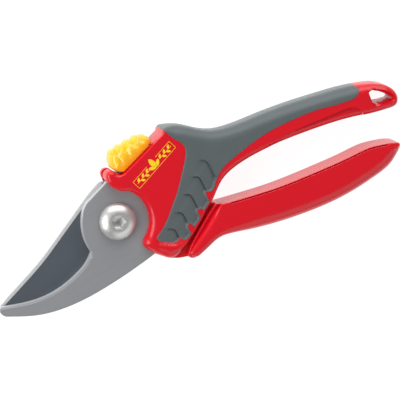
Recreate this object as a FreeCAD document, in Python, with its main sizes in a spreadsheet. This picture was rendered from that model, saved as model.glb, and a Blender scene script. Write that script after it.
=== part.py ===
import FreeCAD, Part
import Sketcher
import math
import os

# Bypass pruning shears, closed, lying on the rear face of the handles.
# X runs from the tip to the handle ends, Y towards the lock slider, Z along the pivot bolt.
# The origin is on the pivot axis at the plane the shears lie on.

doc = FreeCAD.newDocument("pruning_shears")


# ---------------------------------------------------------------- driving dimensions

SIZES = {
    "thickness": 18.0,       # across both moulded halves
    "parting": 9.0,          # height of the plane between the halves
    "rear_plate": 3.4,       # rear wall of the body
    "front_plate": 4.5,      # front wall of the body
    "blade_thick": 3.0,
    "hook_thick": 4.5,
    "face_gap": 0.1,         # between blade and hook, and blade and washer
    "side_gap": 0.3,         # between the tongue and the walls it moves between
    "round_body": 1.2,       # edge rounding of the body
    "round_handle": 4.6,     # edge rounding of the handles
    "skin": 1.6,             # thickness of the soft grip
    "bolt_head": 17.5,       # diameter of the button head
    "head_high": 4.9,
    "shank": 10.0,
    "hex_across": 6.0,
    "bush_outer": 14.0,
    "bush_gap": 0.05,
    "nut_across": 16.0,
    "nut_high": 4.0,
    "washer_thick": 0.9,
    "screw_shank": 2.8,
    "screw_head": 5.4,
    "wire": 1.2,             # return spring
    "coil": 8.4,
    "coil_turns": 6.0,
    "strip_deep": 1.6,       # inner strip of the lower handle
    "lock_travel": 6.0,
}

sheet = doc.addObject("Spreadsheet::Sheet", "sizes")
for row, (word, number) in enumerate(SIZES.items(), start=1):
    sheet.set("A%d" % row, word)
    sheet.set("B%d" % row, str(number))
    sheet.setAlias("B%d" % row, word)
doc.recompute()


def size(word):
    return float(sheet.get(word))


# heights worked out from the driving dimensions
HOOK_Z = "sizes.parting"
HOOK_TOP = "sizes.parting + sizes.hook_thick"
BLADE_TOP = "sizes.parting - sizes.face_gap"
BLADE_Z = "sizes.parting - sizes.face_gap - sizes.blade_thick"
TONGUE_Z = "sizes.rear_plate + sizes.side_gap"
TONGUE_TOP = "sizes.thickness - sizes.front_plate - sizes.side_gap"
FRONT_IN = "sizes.thickness - sizes.front_plate"


# ---------------------------------------------------------------- helpers

def vec(point):
    return FreeCAD.Vector(point[0], point[1], 0)


def origin_plane(body, role):
    for feature in body.Origin.OriginFeatures:
        if feature.Role == role:
            return feature
    raise ValueError(role)


def new_sketch(body, role="XY_Plane", offset=None):
    sketch = body.newObject("Sketcher::SketchObject", body.Label + "_sketch")
    sketch.AttachmentSupport = (origin_plane(body, role), [""])
    sketch.MapMode = "FlatFace"
    if offset:
        sketch.setExpression("AttachmentOffset.Base.z", offset)
    return sketch


def end_at(sketch, index, corner):
    """Which end of an edge lies at the corner: 1 for its start, 2 for its end."""
    return min((1, 2), key=lambda end: sketch.getPoint(index, end).distanceToPoint(corner))


def join_ends(sketch, corners):
    """Ties each edge of a closed outline to the next one at the corner between them."""
    count = len(corners)
    for index, corner in enumerate(corners):
        after = (index + 1) % count
        here = end_at(sketch, index, corner)
        there = end_at(sketch, after, corner)
        sketch.addConstraint(Sketcher.Constraint("Coincident", index, here, after, there))


def draw(sketch, outline):
    """A closed outline: a start point, then lines, arcs (mid and end point) and curves."""
    here = outline[0]
    corners = []
    for kind, *points in outline[1:]:
        if kind == "line":
            edge = Part.LineSegment(vec(here), vec(points[0]))
        elif kind == "arc":
            edge = Part.Arc(vec(here), vec(points[0]), vec(points[1]))
        else:
            edge = Part.BSplineCurve()
            edge.interpolate([vec(point) for point in [here] + points])
        sketch.addGeometry(edge, False)
        here = points[-1]
        corners.append(vec(here))
    join_ends(sketch, corners)


def polygon(points):
    """The closed outline with straight sides through the points."""
    return [points[0]] + [("line", point) for point in points[1:]] + [("line", points[0])]


def edges_at(shape, height, near=None):
    """Names of the edges at a height: all of them, or those that pass the given points."""
    names = []
    for index, edge in enumerate(shape.Edges, start=1):
        box = edge.BoundBox
        if abs(box.ZMin - height) > 1e-4 or abs(box.ZMax - height) > 1e-4:
            continue
        marks = [Part.Vertex(FreeCAD.Vector(x, y, height)) for x, y in near or []]
        if near is None or min(edge.distToShape(mark)[0] for mark in marks) < 0.3:
            names.append("Edge%d" % index)
    return names


def prism(label, outline, low, high, round_top=None, round_bottom=None, near=None):
    """A body padded from an outline between two heights, with rounded ends if asked."""
    body = doc.addObject("PartDesign::Body", label)
    sketch = new_sketch(body, "XY_Plane", low)
    draw(sketch, outline)
    pad = body.newObject("PartDesign::Pad", label + "_pad")
    pad.Profile = sketch
    pad.setExpression("Length", "(%s) - (%s)" % (high, low))
    doc.recompute()
    last = pad
    for rounding, side in ((round_top, "ZMax"), (round_bottom, "ZMin")):
        if not rounding:
            continue
        height = getattr(last.Shape.BoundBox, side)
        fillet = body.newObject("PartDesign::Fillet", label + "_round")
        fillet.Base = (last, edges_at(last.Shape, height, near))
        fillet.setExpression("Radius", rounding)
        doc.recompute()
        last = fillet
    return body


def section(body, along, low, high, inset, round_low, round_high):
    """A rounded rectangle across the handle, so far along X."""
    sketch = body.newObject("Sketcher::SketchObject", body.Label + "_section")
    sketch.AttachmentSupport = (origin_plane(body, "YZ_Plane"), [""])
    sketch.MapMode = "FlatFace"
    sketch.AttachmentOffset.Base.z = along
    under = inset
    over = size("thickness") - inset
    most = 0.42 * min(high - low, over - under)
    soft_low = min(round_low, most)
    soft_high = min(round_high, most)
    turn = 1 - math.sqrt(0.5)
    draw(sketch, [
        (low + soft_low, under),
        ("line", (high - soft_high, under)),
        ("arc", (high - turn * soft_high, under + turn * soft_high), (high, under + soft_high)),
        ("line", (high, over - soft_high)),
        ("arc", (high - turn * soft_high, over - turn * soft_high), (high - soft_high, over)),
        ("line", (low + soft_low, over)),
        ("arc", (low + turn * soft_low, over - turn * soft_low), (low, over - soft_low)),
        ("line", (low, under + soft_low)),
        ("arc", (low + turn * soft_low, under + turn * soft_low), (low + soft_low, under)),
    ])
    return sketch


def handle_loft(label, stations, round_low, round_high, shrink=0.0):
    """A handle lofted through rounded sections; shrink draws its back and faces in."""
    body = doc.addObject("PartDesign::Body", label)
    sketches = []
    for along, low, high, inset in stations:
        sketches.append(section(
            body, along, low, high - 1.15 * shrink, inset + shrink, round_low, round_high
        ))
    loft = body.newObject("PartDesign::AdditiveLoft", label + "_loft")
    loft.Profile = sketches[0]
    loft.Sections = sketches[1:]
    doc.recompute()
    return body


def block(label, low, high):
    """A box over the whole tool between two heights."""
    part = doc.addObject("Part::Box", label)
    part.Length = 300
    part.Width = 200
    part.setExpression("Height", "(%s) - (%s)" % (high, low))
    part.Placement.Base = FreeCAD.Vector(-100, -100, 0)
    part.setExpression("Placement.Base.z", low)
    return part


def disc(label, diameter, low, high, centre=(0, 0)):
    """A round pin or plate on an axis along Z."""
    part = doc.addObject("Part::Cylinder", label)
    part.setExpression("Radius", "(%s) / 2" % diameter)
    part.setExpression("Height", "(%s) - (%s)" % (high, low))
    part.setExpression("Placement.Base.z", low)
    part.Placement.Base.x = centre[0]
    part.Placement.Base.y = centre[1]
    return part


def cut(label, base, *tools):
    tool = tools[0]
    if len(tools) > 1:
        tool = doc.addObject("Part::MultiFuse", label + "_tools")
        tool.Shapes = list(tools)
    result = doc.addObject("Part::Cut", label)
    result.Base = base
    result.Tool = tool
    doc.recompute()
    return result


def fuse(label, *parts):
    result = doc.addObject("Part::MultiFuse", label)
    result.Shapes = list(parts)
    doc.recompute()
    return result


def common(label, one, other):
    result = doc.addObject("Part::Common", label)
    result.Base = one
    result.Tool = other
    doc.recompute()
    return result


# ---------------------------------------------------------------- outlines of the upper handle

TRACK_FROM = (13.2, 18.7)
TRACK_TO = (37.6, 26.0)
TRACK_TURN = math.degrees(math.atan2(TRACK_TO[1] - TRACK_FROM[1], TRACK_TO[0] - TRACK_FROM[0]))


def on_track(along, above):
    """A point so far along the lock's track and so far out from it."""
    turn = math.radians(TRACK_TURN)
    return (
        TRACK_FROM[0] + along * math.cos(turn) - above * math.sin(turn),
        TRACK_FROM[1] + along * math.sin(turn) + above * math.cos(turn),
    )


MOUTH = [
    ("line", (5.8, -17.8)),
    ("arc", (5.7, -15.0), (8.2, -12.6)),
    ("arc", (15.1, 0.0), (11.0, 10.35)),
    ("arc", (6.4, 13.7), (4.4, 18.8)),
]
NOSE = [
    ("line", (4.6, 20.8)),
    ("arc", (7.3, 23.1), (9.8, 20.9)),
    ("arc", (10.9, 19.3), TRACK_FROM),
]
# the body: mouth round the pivot, nose, track, and the straight lower edge
BODY_OUTLINE = [
    (8.6, -22.4),
    *MOUTH,
    *NOSE,
    ("line", TRACK_TO),
    ("line", (42.0, 22.0)),
    ("line", (47.0, 10.0)),
    ("line", (49.0, -8.0)),
    ("line", (43.6, -13.2)),
    ("arc", (31.0, -19.7), (17.9, -26.9)),
    ("arc", (14.6, -27.9), (11.6, -26.2)),
    ("line", (8.6, -22.4)),
]
# the handle: underside and back at places along it, and how far its faces draw in there
HANDLE_STATIONS = [
    (35.0, -9.0, 23.5, 0.0),
    (38.4, -11.5, 27.0, 0.0),
    (41.2, -12.3, 27.9, 0.0),
    (44.6, -12.4, 26.4, 0.0),
    (49.0, -9.3, 23.4, 0.0),
    (54.0, -6.6, 18.9, 0.0),
    (60.0, -4.9, 15.0, 0.0),
    (68.0, -4.4, 12.6, 0.0),
    (83.0, -5.4, 10.3, 0.0),
    (99.0, -7.7, 7.5, 0.0),
    (114.0, -10.8, 3.8, 0.0),
    (129.0, -15.0, -0.7, 0.0),
    (137.0, -17.2, -3.9, 0.2),
    (141.2, -17.6, -6.6, 1.0),
    (143.5, -16.8, -9.8, 2.6),
    (144.4, -15.6, -12.4, 4.6),
]
HOLE_OUTLINE = [
    (132.6, -6.9),
    ("arc", (134.2, -5.9), (136.0, -6.4)),
    ("arc", (139.3, -8.8), (140.4, -11.6)),
    ("arc", (140.0, -12.7), (138.8, -12.9)),
    ("line", (133.6, -11.9)),
    ("arc", (132.5, -11.0), (132.3, -9.6)),
    ("line", (132.6, -6.9)),
]
# where the soft grip lies: ribbed pad on the body, waist, and the whole back of the handle
GRIP_ZONE = [
    (34.0, 34.0),
    ("line", (38.7, 26.6)),
    ("curve", (41.2, 22.4), (43.7, 18.6), (43.2, 13.6), (37.0, 5.6), (27.3, -4.0), (21.9, -9.0),
     (16.9, -12.1), (13.3, -14.2)),
    ("arc", (12.3, -16.6), (14.3, -19.2)),
    ("curve", (17.4, -21.2), (20.6, -22.2), (24.6, -21.9)),
    ("line", (26.6, -20.9)),
    ("line", (28.1, -17.9)),
    ("line", (31.1, -19.2)),
    ("line", (34.6, -17.2)),
    ("line", (35.5, -13.5)),
    ("line", (38.6, -14.9)),
    ("line", (41.8, -13.0)),
    ("line", (42.9, -8.6)),
    ("line", (46.4, -9.4)),
    ("curve", (49.4, -6.4), (51.4, -4.0)),
    ("curve", (54.6, -2.0), (61.0, -0.3), (72.0, 1.1), (87.0, 2.0), (98.0, 1.1), (108.5, -0.7),
     (116.0, -2.6), (122.0, -4.1), (126.0, -3.4), (128.3, -1.2), (128.6, 1.6)),
    ("line", (131.0, 14.0)),
    ("line", (60.0, 34.0)),
    ("line", (34.0, 34.0)),
]
# room inside the body for hook, tongue and spring, open towards the lower handle
BODY_ROOM = polygon([
    (-2.0, -40.0), (-2.0, 16.9), (8.4, 20.0), on_track(-0.6, -3.0), on_track(26.5, -3.0),
    (43.0, 19.0), (43.0, -12.0), (44.4, -14.5), (44.4, -40.0),
])
# the blade comes up through this slot under the lock's track as the shears open
TRACK_SLOT = polygon([(-2.0, 8.0), (-2.0, 40.0), on_track(19.0, 12.0), on_track(19.0, -5.0)])
# hollows in the long part of the handle, with solid ribs between them for the screws
HANDLE_ROOMS = [
    polygon([(47.5, 17.0), (56.0, 11.5), (56.0, -1.4), (52.0, -3.2), (47.5, -6.2)]),
    polygon([(66.5, 8.0), (91.0, 4.6), (91.0, -2.6), (75.0, -1.2), (66.5, -1.2)]),
    polygon([(99.0, 3.2), (119.5, -2.0), (119.5, -8.6), (99.0, -4.0)]),
]
SCREWS = [(47.0, 20.6), (61.2, 4.2), (95.0, 0.6), (124.4, -7.4)]


# ---------------------------------------------------------------- upper handle: shells and grips

def leaf(stem, turn, long, wide):
    """A leaf between two arcs, growing from a point in a direction."""
    angle = math.radians(turn)
    along = (math.cos(angle), math.sin(angle))
    across = (-along[1], along[0])

    def at(forward, aside):
        return (
            stem[0] + along[0] * forward + across[0] * aside,
            stem[1] + along[1] * forward + across[1] * aside,
        )

    return [
        at(0, 0),
        ("arc", at(0.45 * long, 0.5 * wide), at(long, 0)),
        ("arc", at(0.45 * long, -0.5 * wide), at(0, 0)),
    ]


def leaf_badge():
    low = "sizes.thickness - 0.4"
    high = "sizes.thickness + 0.15"
    pieces = []
    stem = [on_track(3.0, -5.35), on_track(21.0, -5.35), on_track(21.0, -4.75), on_track(3.0, -4.75)]
    pieces.append(prism("badge_stem", polygon(stem), low, high))
    for step, along in enumerate((5.0, 9.5, 14.0)):
        for side in (1, -1):
            turn = TRACK_TURN + side * 38
            outline = leaf(on_track(along + 0.6 * side, -5.05), turn, 5.6 - 0.5 * step, 2.3)
            pieces.append(prism("badge_leaf", outline, low, high))
    pieces.append(prism("badge_tip", leaf(on_track(20.0, -5.05), TRACK_TURN, 5.2, 2.3), low, high))
    return fuse("leaf_badge", *pieces)


FREE_EDGES = [(31.0, -19.7)]


def shell_half(label, low, high, top):
    """Body and handle of one moulded half, rounded on the side away from the parting plane."""
    rounds = ("sizes.round_body", None) if top else (None, "sizes.round_body")
    body = prism(label + "_body", BODY_OUTLINE, low, high, *rounds, near=FREE_EDGES)
    loft = handle_loft(
        label + "_handle", HANDLE_STATIONS, 0.6 * size("round_handle"), size("round_handle")
    )
    return fuse(label + "_whole", body, common(label + "_half", loft, block("half", low, high)))


def core_under_grip(label, low, high):
    """What stays hard under the soft skin: the same shape drawn in by the skin's thickness."""
    body = prism(label + "_body", BODY_OUTLINE, low, high)
    body.setExpression("Placement.Base.y", "-sizes.skin * 1.35")
    body.setExpression("Placement.Base.x", "-sizes.skin * 0.5")
    loft = handle_loft(
        label + "_handle", HANDLE_STATIONS, 0.6 * size("round_handle"),
        size("round_handle") - size("skin"), size("skin"),
    )
    return fuse(label, body, loft)


badge = leaf_badge()

front_whole = shell_half("front", "sizes.parting", "sizes.thickness", True)
rear_whole = shell_half("rear", "0", "sizes.parting", False)
front_zone = cut(
    "front_zone",
    prism("front_zone_all", GRIP_ZONE, "sizes.parting", "sizes.thickness + 1"),
    core_under_grip("front_core", "sizes.parting - 1", "sizes.thickness - sizes.skin"),
)
rear_zone = cut(
    "rear_zone",
    prism("rear_zone_all", GRIP_ZONE, "-1", "sizes.parting"),
    core_under_grip("rear_core", "sizes.skin", "sizes.parting + 1"),
)
front_grip = common("soft_grip_front", front_whole, front_zone)
rear_grip = common("soft_grip_rear", rear_whole, rear_zone)

front_rooms = [prism("front_room", BODY_ROOM, "sizes.parting - 1", FRONT_IN)]
rear_rooms = [
    prism("rear_room", BODY_ROOM, "sizes.rear_plate", "sizes.parting + 1"),
    prism("rear_slot", TRACK_SLOT, BLADE_Z + " - sizes.side_gap", "sizes.parting + 1"),
]
for outline in HANDLE_ROOMS:
    front_rooms.append(prism("front_hollow", outline, "sizes.parting - 1", FRONT_IN))
    rear_rooms.append(prism("rear_hollow", outline, "sizes.rear_plate", "sizes.parting + 1"))
hang_hole = prism("hang_hole", HOLE_OUTLINE, "-1", "sizes.thickness + 1")

screws = []
for index, spot in enumerate(SCREWS, start=1):
    shank = disc("screw_shank_%d" % index, "sizes.screw_shank", "2.4", "14", spot)
    head = disc("screw_head_%d" % index, "sizes.screw_head", "0.7", "2.4", spot)
    slot_across = doc.addObject("Part::Box", "screw_cross_%d" % index)
    slot_across.Length = 3.2
    slot_across.Width = 0.8
    slot_across.Height = 1.3
    slot_across.Placement.Base = FreeCAD.Vector(spot[0] - 1.6, spot[1] - 0.4, 0.3)
    slot_along = doc.addObject("Part::Box", "screw_cross_%d" % index)
    slot_along.Length = 0.8
    slot_along.Width = 3.2
    slot_along.Height = 1.3
    slot_along.Placement.Base = FreeCAD.Vector(spot[0] - 0.4, spot[1] - 1.6, 0.3)
    whole = fuse("screw_whole_%d" % index, shank, head)
    screws.append(cut("shell_screw_%d" % index, whole, slot_across, slot_along))
screw_room = [disc("screw_room", "sizes.screw_head", "-1", "2.4", spot) for spot in SCREWS]
screw_hole = [disc("screw_hole", "sizes.screw_shank", "2", "14", spot) for spot in SCREWS]

HOOK_RIVETS = [(23.0, 8.0), (34.0, 15.5)]
hook_rivets = []
for index, spot in enumerate(HOOK_RIVETS, start=1):
    hook_rivets.append(disc("hook_rivet_%d" % index, "4", HOOK_Z, "sizes.thickness - 2", spot))
doc.recompute()

front_shell = cut(
    "upper_front_shell", front_whole, front_zone, *front_rooms, hang_hole, badge,
    *screw_hole, *hook_rivets,
)
rear_grip_holed = cut("soft_grip_rear_cut", rear_grip, *screw_room)
rear_shell = cut(
    "upper_rear_shell", rear_whole, rear_zone, *rear_rooms, hang_hole, *screw_room, *screw_hole
)


# ---------------------------------------------------------------- hook and blade

HOOK_OUTLINE = [
    (-65.4, -14.0),
    ("curve", (-60.0, -17.0), (-52.7, -20.4), (-44.6, -22.8), (-36.1, -24.2), (-27.0, -24.8),
     (-17.6, -24.7), (-8.1, -24.2), (1.7, -23.3)),
    ("line", (12.2, -22.0)),
    ("line", (21.8, -15.5)),
    ("line", (25.8, -7.0)),
    ("line", (30.0, 4.0)),
    ("line", (31.0, 9.5)),
    ("line", (40.5, 15.5)),
    ("line", on_track(26.0, -5.8)),
    ("line", on_track(0.2, -5.8)),
    ("line", (8.2, 19.5)),
    ("line", (-7.0, 14.9)),
    ("arc", (-11.1, 13.4), (-13.6, 11.2)),
    ("arc", (-17.4, 2.0), (-17.3, -6.9)),
    ("curve", (-22.0, -10.3), (-28.8, -12.8), (-35.7, -14.2), (-43.3, -14.6), (-50.9, -13.6),
     (-58.0, -11.6), (-66.8, -8.3)),
    ("curve", (-68.0, -8.9), (-68.3, -10.6), (-67.4, -12.6), (-65.4, -14.0)),
]
BLADE_OUTLINE = [
    (-67.0, -9.0),
    ("curve", (-58.0, -14.2), (-46.0, -17.6), (-34.0, -17.8), (-24.0, -15.6), (-15.0, -11.2)),
    ("arc", (-7.8, -14.4), (1.6, -16.2)),
    ("line", (18.0, -24.6)),
    ("arc", (31.6, -24.4), (32.6, -16.4)),
    ("line", (17.6, -4.0)),
    ("arc", (16.6, 5.0), (11.8, 12.6)),
    ("arc", (8.0, 16.2), (3.0, 18.5)),
    ("curve", (-5.3, 15.8), (-28.3, 5.5), (-50.0, -2.7), (-66.4, -8.3)),
    ("line", (-67.0, -9.0)),
]


def hook_blade():
    plate = prism("hook_plate", HOOK_OUTLINE, HOOK_Z, HOOK_TOP)
    bore = disc("hook_bore", "sizes.shank", "0", "20")
    holes = [disc("hook_hole", "4", "0", "20", spot) for spot in HOOK_RIVETS]
    return cut("hook_blade", plate, bore, *holes)


BLADE_RIVETS = [(20.0, -14.0), (27.5, -19.0)]


def cutting_blade():
    plate = prism("blade_plate", BLADE_OUTLINE, BLADE_Z, BLADE_TOP)
    bore = disc("blade_bore", "sizes.bush_outer + 2 * sizes.bush_gap", "0", "20")
    holes = [disc("blade_hole", "4", "0", "20", spot) for spot in BLADE_RIVETS]
    # the ground face: a long wedge taken off the rear of the cutting edge
    wedge_points = [(-70.0, -11.0), (-46.0, -19.5), (-34.0, -19.8), (-22.0, -16.8), (-14.0, -12.0)]
    ground = doc.addObject("Part::Feature", "blade_ground")
    low = size("parting") - size("face_gap") - size("blade_thick")
    profiles = []
    for lift, shift in ((-0.1, 5.2), (size("blade_thick") * 0.86, 0.6)):
        ring = [(x, y) for x, y in wedge_points]
        inner = [(x + 0.25 * shift, y + shift) for x, y in reversed(wedge_points)]
        points = [FreeCAD.Vector(x, y - 1.0, low + lift) for x, y in ring]
        points += [FreeCAD.Vector(x, y, low + lift) for x, y in inner]
        points.append(points[0])
        profiles.append(Part.makePolygon(points))
    ground.Shape = Part.makeLoft(profiles, True, True)
    return cut("cutting_blade", plate, bore, ground, *holes)


hook = hook_blade()
blade = cutting_blade()


# ---------------------------------------------------------------- pivot

def hexagon(across, centre=(0, 0)):
    radius = across / math.sqrt(3)
    corners = []
    for step in range(6):
        angle = math.radians(30 + 60 * step)
        corners.append((centre[0] + radius * math.cos(angle), centre[1] + radius * math.sin(angle)))
    return polygon(corners)


def pivot_bolt():
    """Button-head bolt turned about its axis, with a hexagon socket."""
    body = doc.addObject("PartDesign::Body", "bolt_turned")
    sketch = new_sketch(body, "XZ_Plane")
    head = size("bolt_head") / 2
    shank = size("shank") / 2
    seat = size("parting") + size("hook_thick")
    top = seat + size("head_high")
    draw(sketch, [
        (0.0, 0.0),
        ("line", (shank, 0.0)),
        ("line", (shank, seat)),
        ("line", (head, seat)),
        ("line", (head, seat + 0.9)),
        ("arc", (head * 0.82, seat + 0.66 * size("head_high")), (head * 0.5, top)),
        ("line", (0.0, top)),
        ("line", (0.0, 0.0)),
    ])
    turned = body.newObject("PartDesign::Revolution", "bolt_revolution")
    turned.Profile = sketch
    turned.ReferenceAxis = (sketch, ["V_Axis"])
    turned.Angle = 360
    doc.recompute()
    floor = HOOK_TOP + " + sizes.head_high - 3"
    socket = prism("bolt_socket", hexagon(size("hex_across")), floor, HOOK_TOP + " + 6")
    return cut("pivot_bolt", body, socket)


def ring(label, outer, inner, low, high):
    body = disc(label + "_outer", outer, low, high)
    bore = disc(label + "_inner", inner, "-1", "20")
    return cut(label, body, bore)


bolt = pivot_bolt()
bush = ring("pivot_bush", "sizes.bush_outer", "sizes.shank", BLADE_Z + " - sizes.face_gap", HOOK_Z)
WASHER_TOP = BLADE_Z + " - sizes.face_gap"
thrust = ring("thrust_washer", "18", "sizes.shank", WASHER_TOP + " - sizes.washer_thick", WASHER_TOP)
spring_washer_whole = ring("spring_washer_ring", "16", "sizes.shank", "sizes.nut_high",
                           "sizes.nut_high + sizes.washer_thick")
split = prism("washer_split", polygon([(4.0, -0.4), (9.0, 0.5), (9.0, 1.4), (4.0, 0.5)]), "0", "9")
lock_washer = cut("lock_washer", spring_washer_whole, split)
nut_whole = prism("nut_whole", hexagon(size("nut_across")), "0", "sizes.nut_high")
nut_round = doc.addObject("Part::Cone", "nut_round")
nut_round.setExpression("Radius1", "sizes.nut_across / 2 + 0.1")
nut_round.setExpression("Radius2", "sizes.nut_across / 2 + 0.1 + sizes.nut_high * 1.8")
nut_round.setExpression("Height", "sizes.nut_high")
nut_chamfered = common("nut_chamfered", nut_whole, nut_round)
nut = cut("pivot_nut", nut_chamfered, disc("nut_bore", "sizes.shank", "-1", "20"))


# ---------------------------------------------------------------- lower handle

INNER_FACE = [
    (60.0, -20.3), (72.3, -23.0), (85.1, -25.0), (98.0, -26.6), (111.4, -27.7), (119.6, -28.3),
    (126.0, -30.2),
]
LOWER_STATIONS = [
    (47.0, -32.7, -17.2, 0.0),
    (60.0, -37.2, -20.3, 0.0),
    (72.3, -40.1, -23.0, 0.0),
    (85.1, -42.4, -25.0, 0.0),
    (98.0, -43.6, -26.6, 0.0),
    (111.4, -43.6, -27.7, 0.0),
    (119.6, -42.7, -28.3, 0.0),
    (126.0, -41.2, -30.2, 0.2),
    (131.0, -38.8, -32.2, 1.2),
    (133.4, -37.2, -33.6, 3.2),
]
# the heel at the body, joined to the long part of the handle
HEEL_OUTLINE = [
    (46.4, -16.9),
    ("line", (51.0, -18.9)),
    ("line", (51.0, -33.4)),
    ("curve", (44.6, -32.0), (38.4, -31.0), (32.6, -32.6), (26.8, -33.9)),
    ("arc", (23.2, -33.0), (22.4, -29.8)),
    ("curve", (27.2, -27.9), (36.8, -23.1), (43.4, -18.6), (46.4, -16.9)),
]
# lower step between the handle and the body, and the head that goes into the body
SHELF_OUTLINE = [
    (21.4, -30.6),
    ("curve", (23.8, -28.5), (30.0, -25.5), (37.9, -20.8), (44.4, -16.2)),
    ("line", (49.0, -18.6)),
    ("line", (40.0, -28.0)),
    ("line", (26.0, -33.2)),
    ("arc", (22.6, -32.7), (21.4, -30.6)),
]
HEAD_OUTLINE = [
    (29.4, -9.5),
    ("line", (41.0, -9.5)),
    ("line", (42.2, -13.0)),
    ("line", (46.2, -18.4)),
    ("line", (34.0, -29.0)),
    ("line", (23.0, -31.4)),
    ("line", (17.0, -26.1)),
    ("arc", (25.6, -17.2), (29.4, -9.5)),
]
TONGUE_OUTLINE = [
    (1.6, -18.0),
    ("line", (19.0, -27.6)),
    ("line", (30.0, -26.0)),
    ("line", (34.0, -9.7)),
    ("line", (27.0, -8.0)),
    ("line", (17.2, -1.0)),
    ("arc", (7.7, -8.6), (-2.6, -15.6)),
    ("line", (1.6, -18.0)),
]
LOWER_ROOMS = [
    polygon([(52.0, -19.6), (66.0, -22.8), (66.0, -35.4), (52.0, -31.4)]),
    polygon([(69.0, -23.4), (96.0, -27.2), (96.0, -40.0), (69.0, -36.2)]),
    polygon([(99.0, -27.6), (124.0, -31.6), (124.0, -38.2), (116.0, -39.8), (99.0, -40.3)]),
]


def strip_outline(deep, proud=0.0):
    """A strip along the flat inner face of the lower handle, so deep and so far above the face."""
    face = [(49.0, -17.5)] + INNER_FACE
    top = [(x, y + proud) for x, y in face]
    under = [(x - 0.2 * deep, y - deep) for x, y in reversed(face)]
    return [
        top[0],
        ("curve", *top[1:]),
        ("line", under[0]),
        ("curve", *under[1:]),
        ("line", top[0]),
    ]


def lower_long(label):
    loft = handle_loft(
        label + "_loft", LOWER_STATIONS, size("round_handle"), 0.3 * size("round_handle")
    )
    return common(label, loft, block(label + "_block", "0", "sizes.thickness"))


def lower_handle():
    grip = lower_long("lower_long")
    heel = prism("lower_heel", HEEL_OUTLINE, "0", "sizes.thickness")
    shelf = prism("lower_shelf", SHELF_OUTLINE, "2.2", "sizes.thickness - 2.2")
    head = prism("lower_head", HEAD_OUTLINE, TONGUE_Z, TONGUE_TOP)
    tongue = prism("lower_tongue", TONGUE_OUTLINE, TONGUE_Z, BLADE_Z)
    whole = fuse("lower_whole", grip, heel, shelf, head, tongue)
    tools = [prism("lower_blade_seat", BLADE_OUTLINE, BLADE_Z, BLADE_TOP)]
    for outline in LOWER_ROOMS:
        tools.append(prism("lower_room", outline, "sizes.rear_plate", FRONT_IN))
    tools.append(prism("lower_strip_seat", strip_outline(size("strip_deep"), 0.8), "1.4",
                       "sizes.thickness - 1.4"))
    tools += [disc("tongue_hole", "4", "0", BLADE_TOP, spot) for spot in BLADE_RIVETS]
    return cut("lower_handle", whole, *tools)


lower = lower_handle()
strip = prism(
    "lower_inner_strip", strip_outline(size("strip_deep")), "1.4", "sizes.thickness - 1.4"
)
blade_rivets = []
for index, spot in enumerate(BLADE_RIVETS, start=1):
    blade_rivets.append(disc("blade_rivet_%d" % index, "4", TONGUE_Z, BLADE_TOP, spot))


# ---------------------------------------------------------------- return spring and its seats

SPRING_X = 36.0
SPRING_Z = 8.4
SPRING_LOW = -9.5
SPRING_HIGH = 6.0


def upright(label, radius, low, high):
    """A round piece along Y on the return spring's axis."""
    part = doc.addObject("Part::Cylinder", label)
    part.setExpression("Radius", radius)
    part.Height = high - low
    part.Placement = FreeCAD.Placement(
        FreeCAD.Vector(SPRING_X, low, SPRING_Z), FreeCAD.Rotation(FreeCAD.Vector(1, 0, 0), -90)
    )
    return part


def return_spring():
    wire = size("wire") / 2
    middle = size("coil") / 2 - wire
    tall = SPRING_HIGH - SPRING_LOW - 2 * wire - 0.1
    helix = Part.makeHelix(tall / size("coil_turns"), tall, middle)
    profile = Part.Wire(Part.makeCircle(
        wire, FreeCAD.Vector(middle, 0, 0), FreeCAD.Vector(0, 1, 0)
    ))
    spring = doc.addObject("Part::Feature", "return_spring")
    spring.Shape = Part.Wire(helix).makePipeShell([profile], True, True)
    spring.Placement = FreeCAD.Placement(
        FreeCAD.Vector(SPRING_X, SPRING_LOW + wire + 0.05, SPRING_Z),
        FreeCAD.Rotation(FreeCAD.Vector(1, 0, 0), -90),
    )
    return spring


spring = return_spring()
upper_seat = fuse(
    "spring_seat_upper",
    prism("seat_plate", polygon([(31.4, 6.0), (42.9, 6.0), (42.9, 8.2), (31.4, 8.2)]),
          "sizes.rear_plate + 0.1", "sizes.thickness - sizes.front_plate - 0.1"),
    upright("seat_post", "sizes.coil / 2 - sizes.wire - 0.5", SPRING_HIGH - 3.0, SPRING_HIGH + 1.0),
)
lower_seat = upright(
    "spring_seat_lower", "sizes.coil / 2 - sizes.wire - 0.5", SPRING_LOW, SPRING_LOW + 3.0
)
bumper = prism(
    "closing_bumper", polygon([(40.9, -1.5), (42.9, -1.5), (42.9, -9.0), (40.9, -9.0)]), "5", "12"
)


# ---------------------------------------------------------------- lock

LOCK_OUTLINE = [
    on_track(0.0, 0.9),
    ("curve", (11.0, 22.4), (10.2, 25.0), (10.9, 27.6), (12.0, 29.4)),
    ("arc", (13.5, 30.2), (14.9, 29.5)),
    ("arc", (17.0, 30.2), (19.4, 29.2)),
    ("arc", (21.7, 30.6), (24.0, 29.4)),
    ("arc", (26.3, 30.7), (28.4, 29.3)),
    ("curve", (30.4, 28.9), (31.4, 27.4), (31.2, 25.8), on_track(17.6, 0.9)),
    ("line", on_track(16.8, 0.4)),
    ("line", on_track(0.6, 0.4)),
    ("line", on_track(0.0, 0.9)),
]


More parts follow.
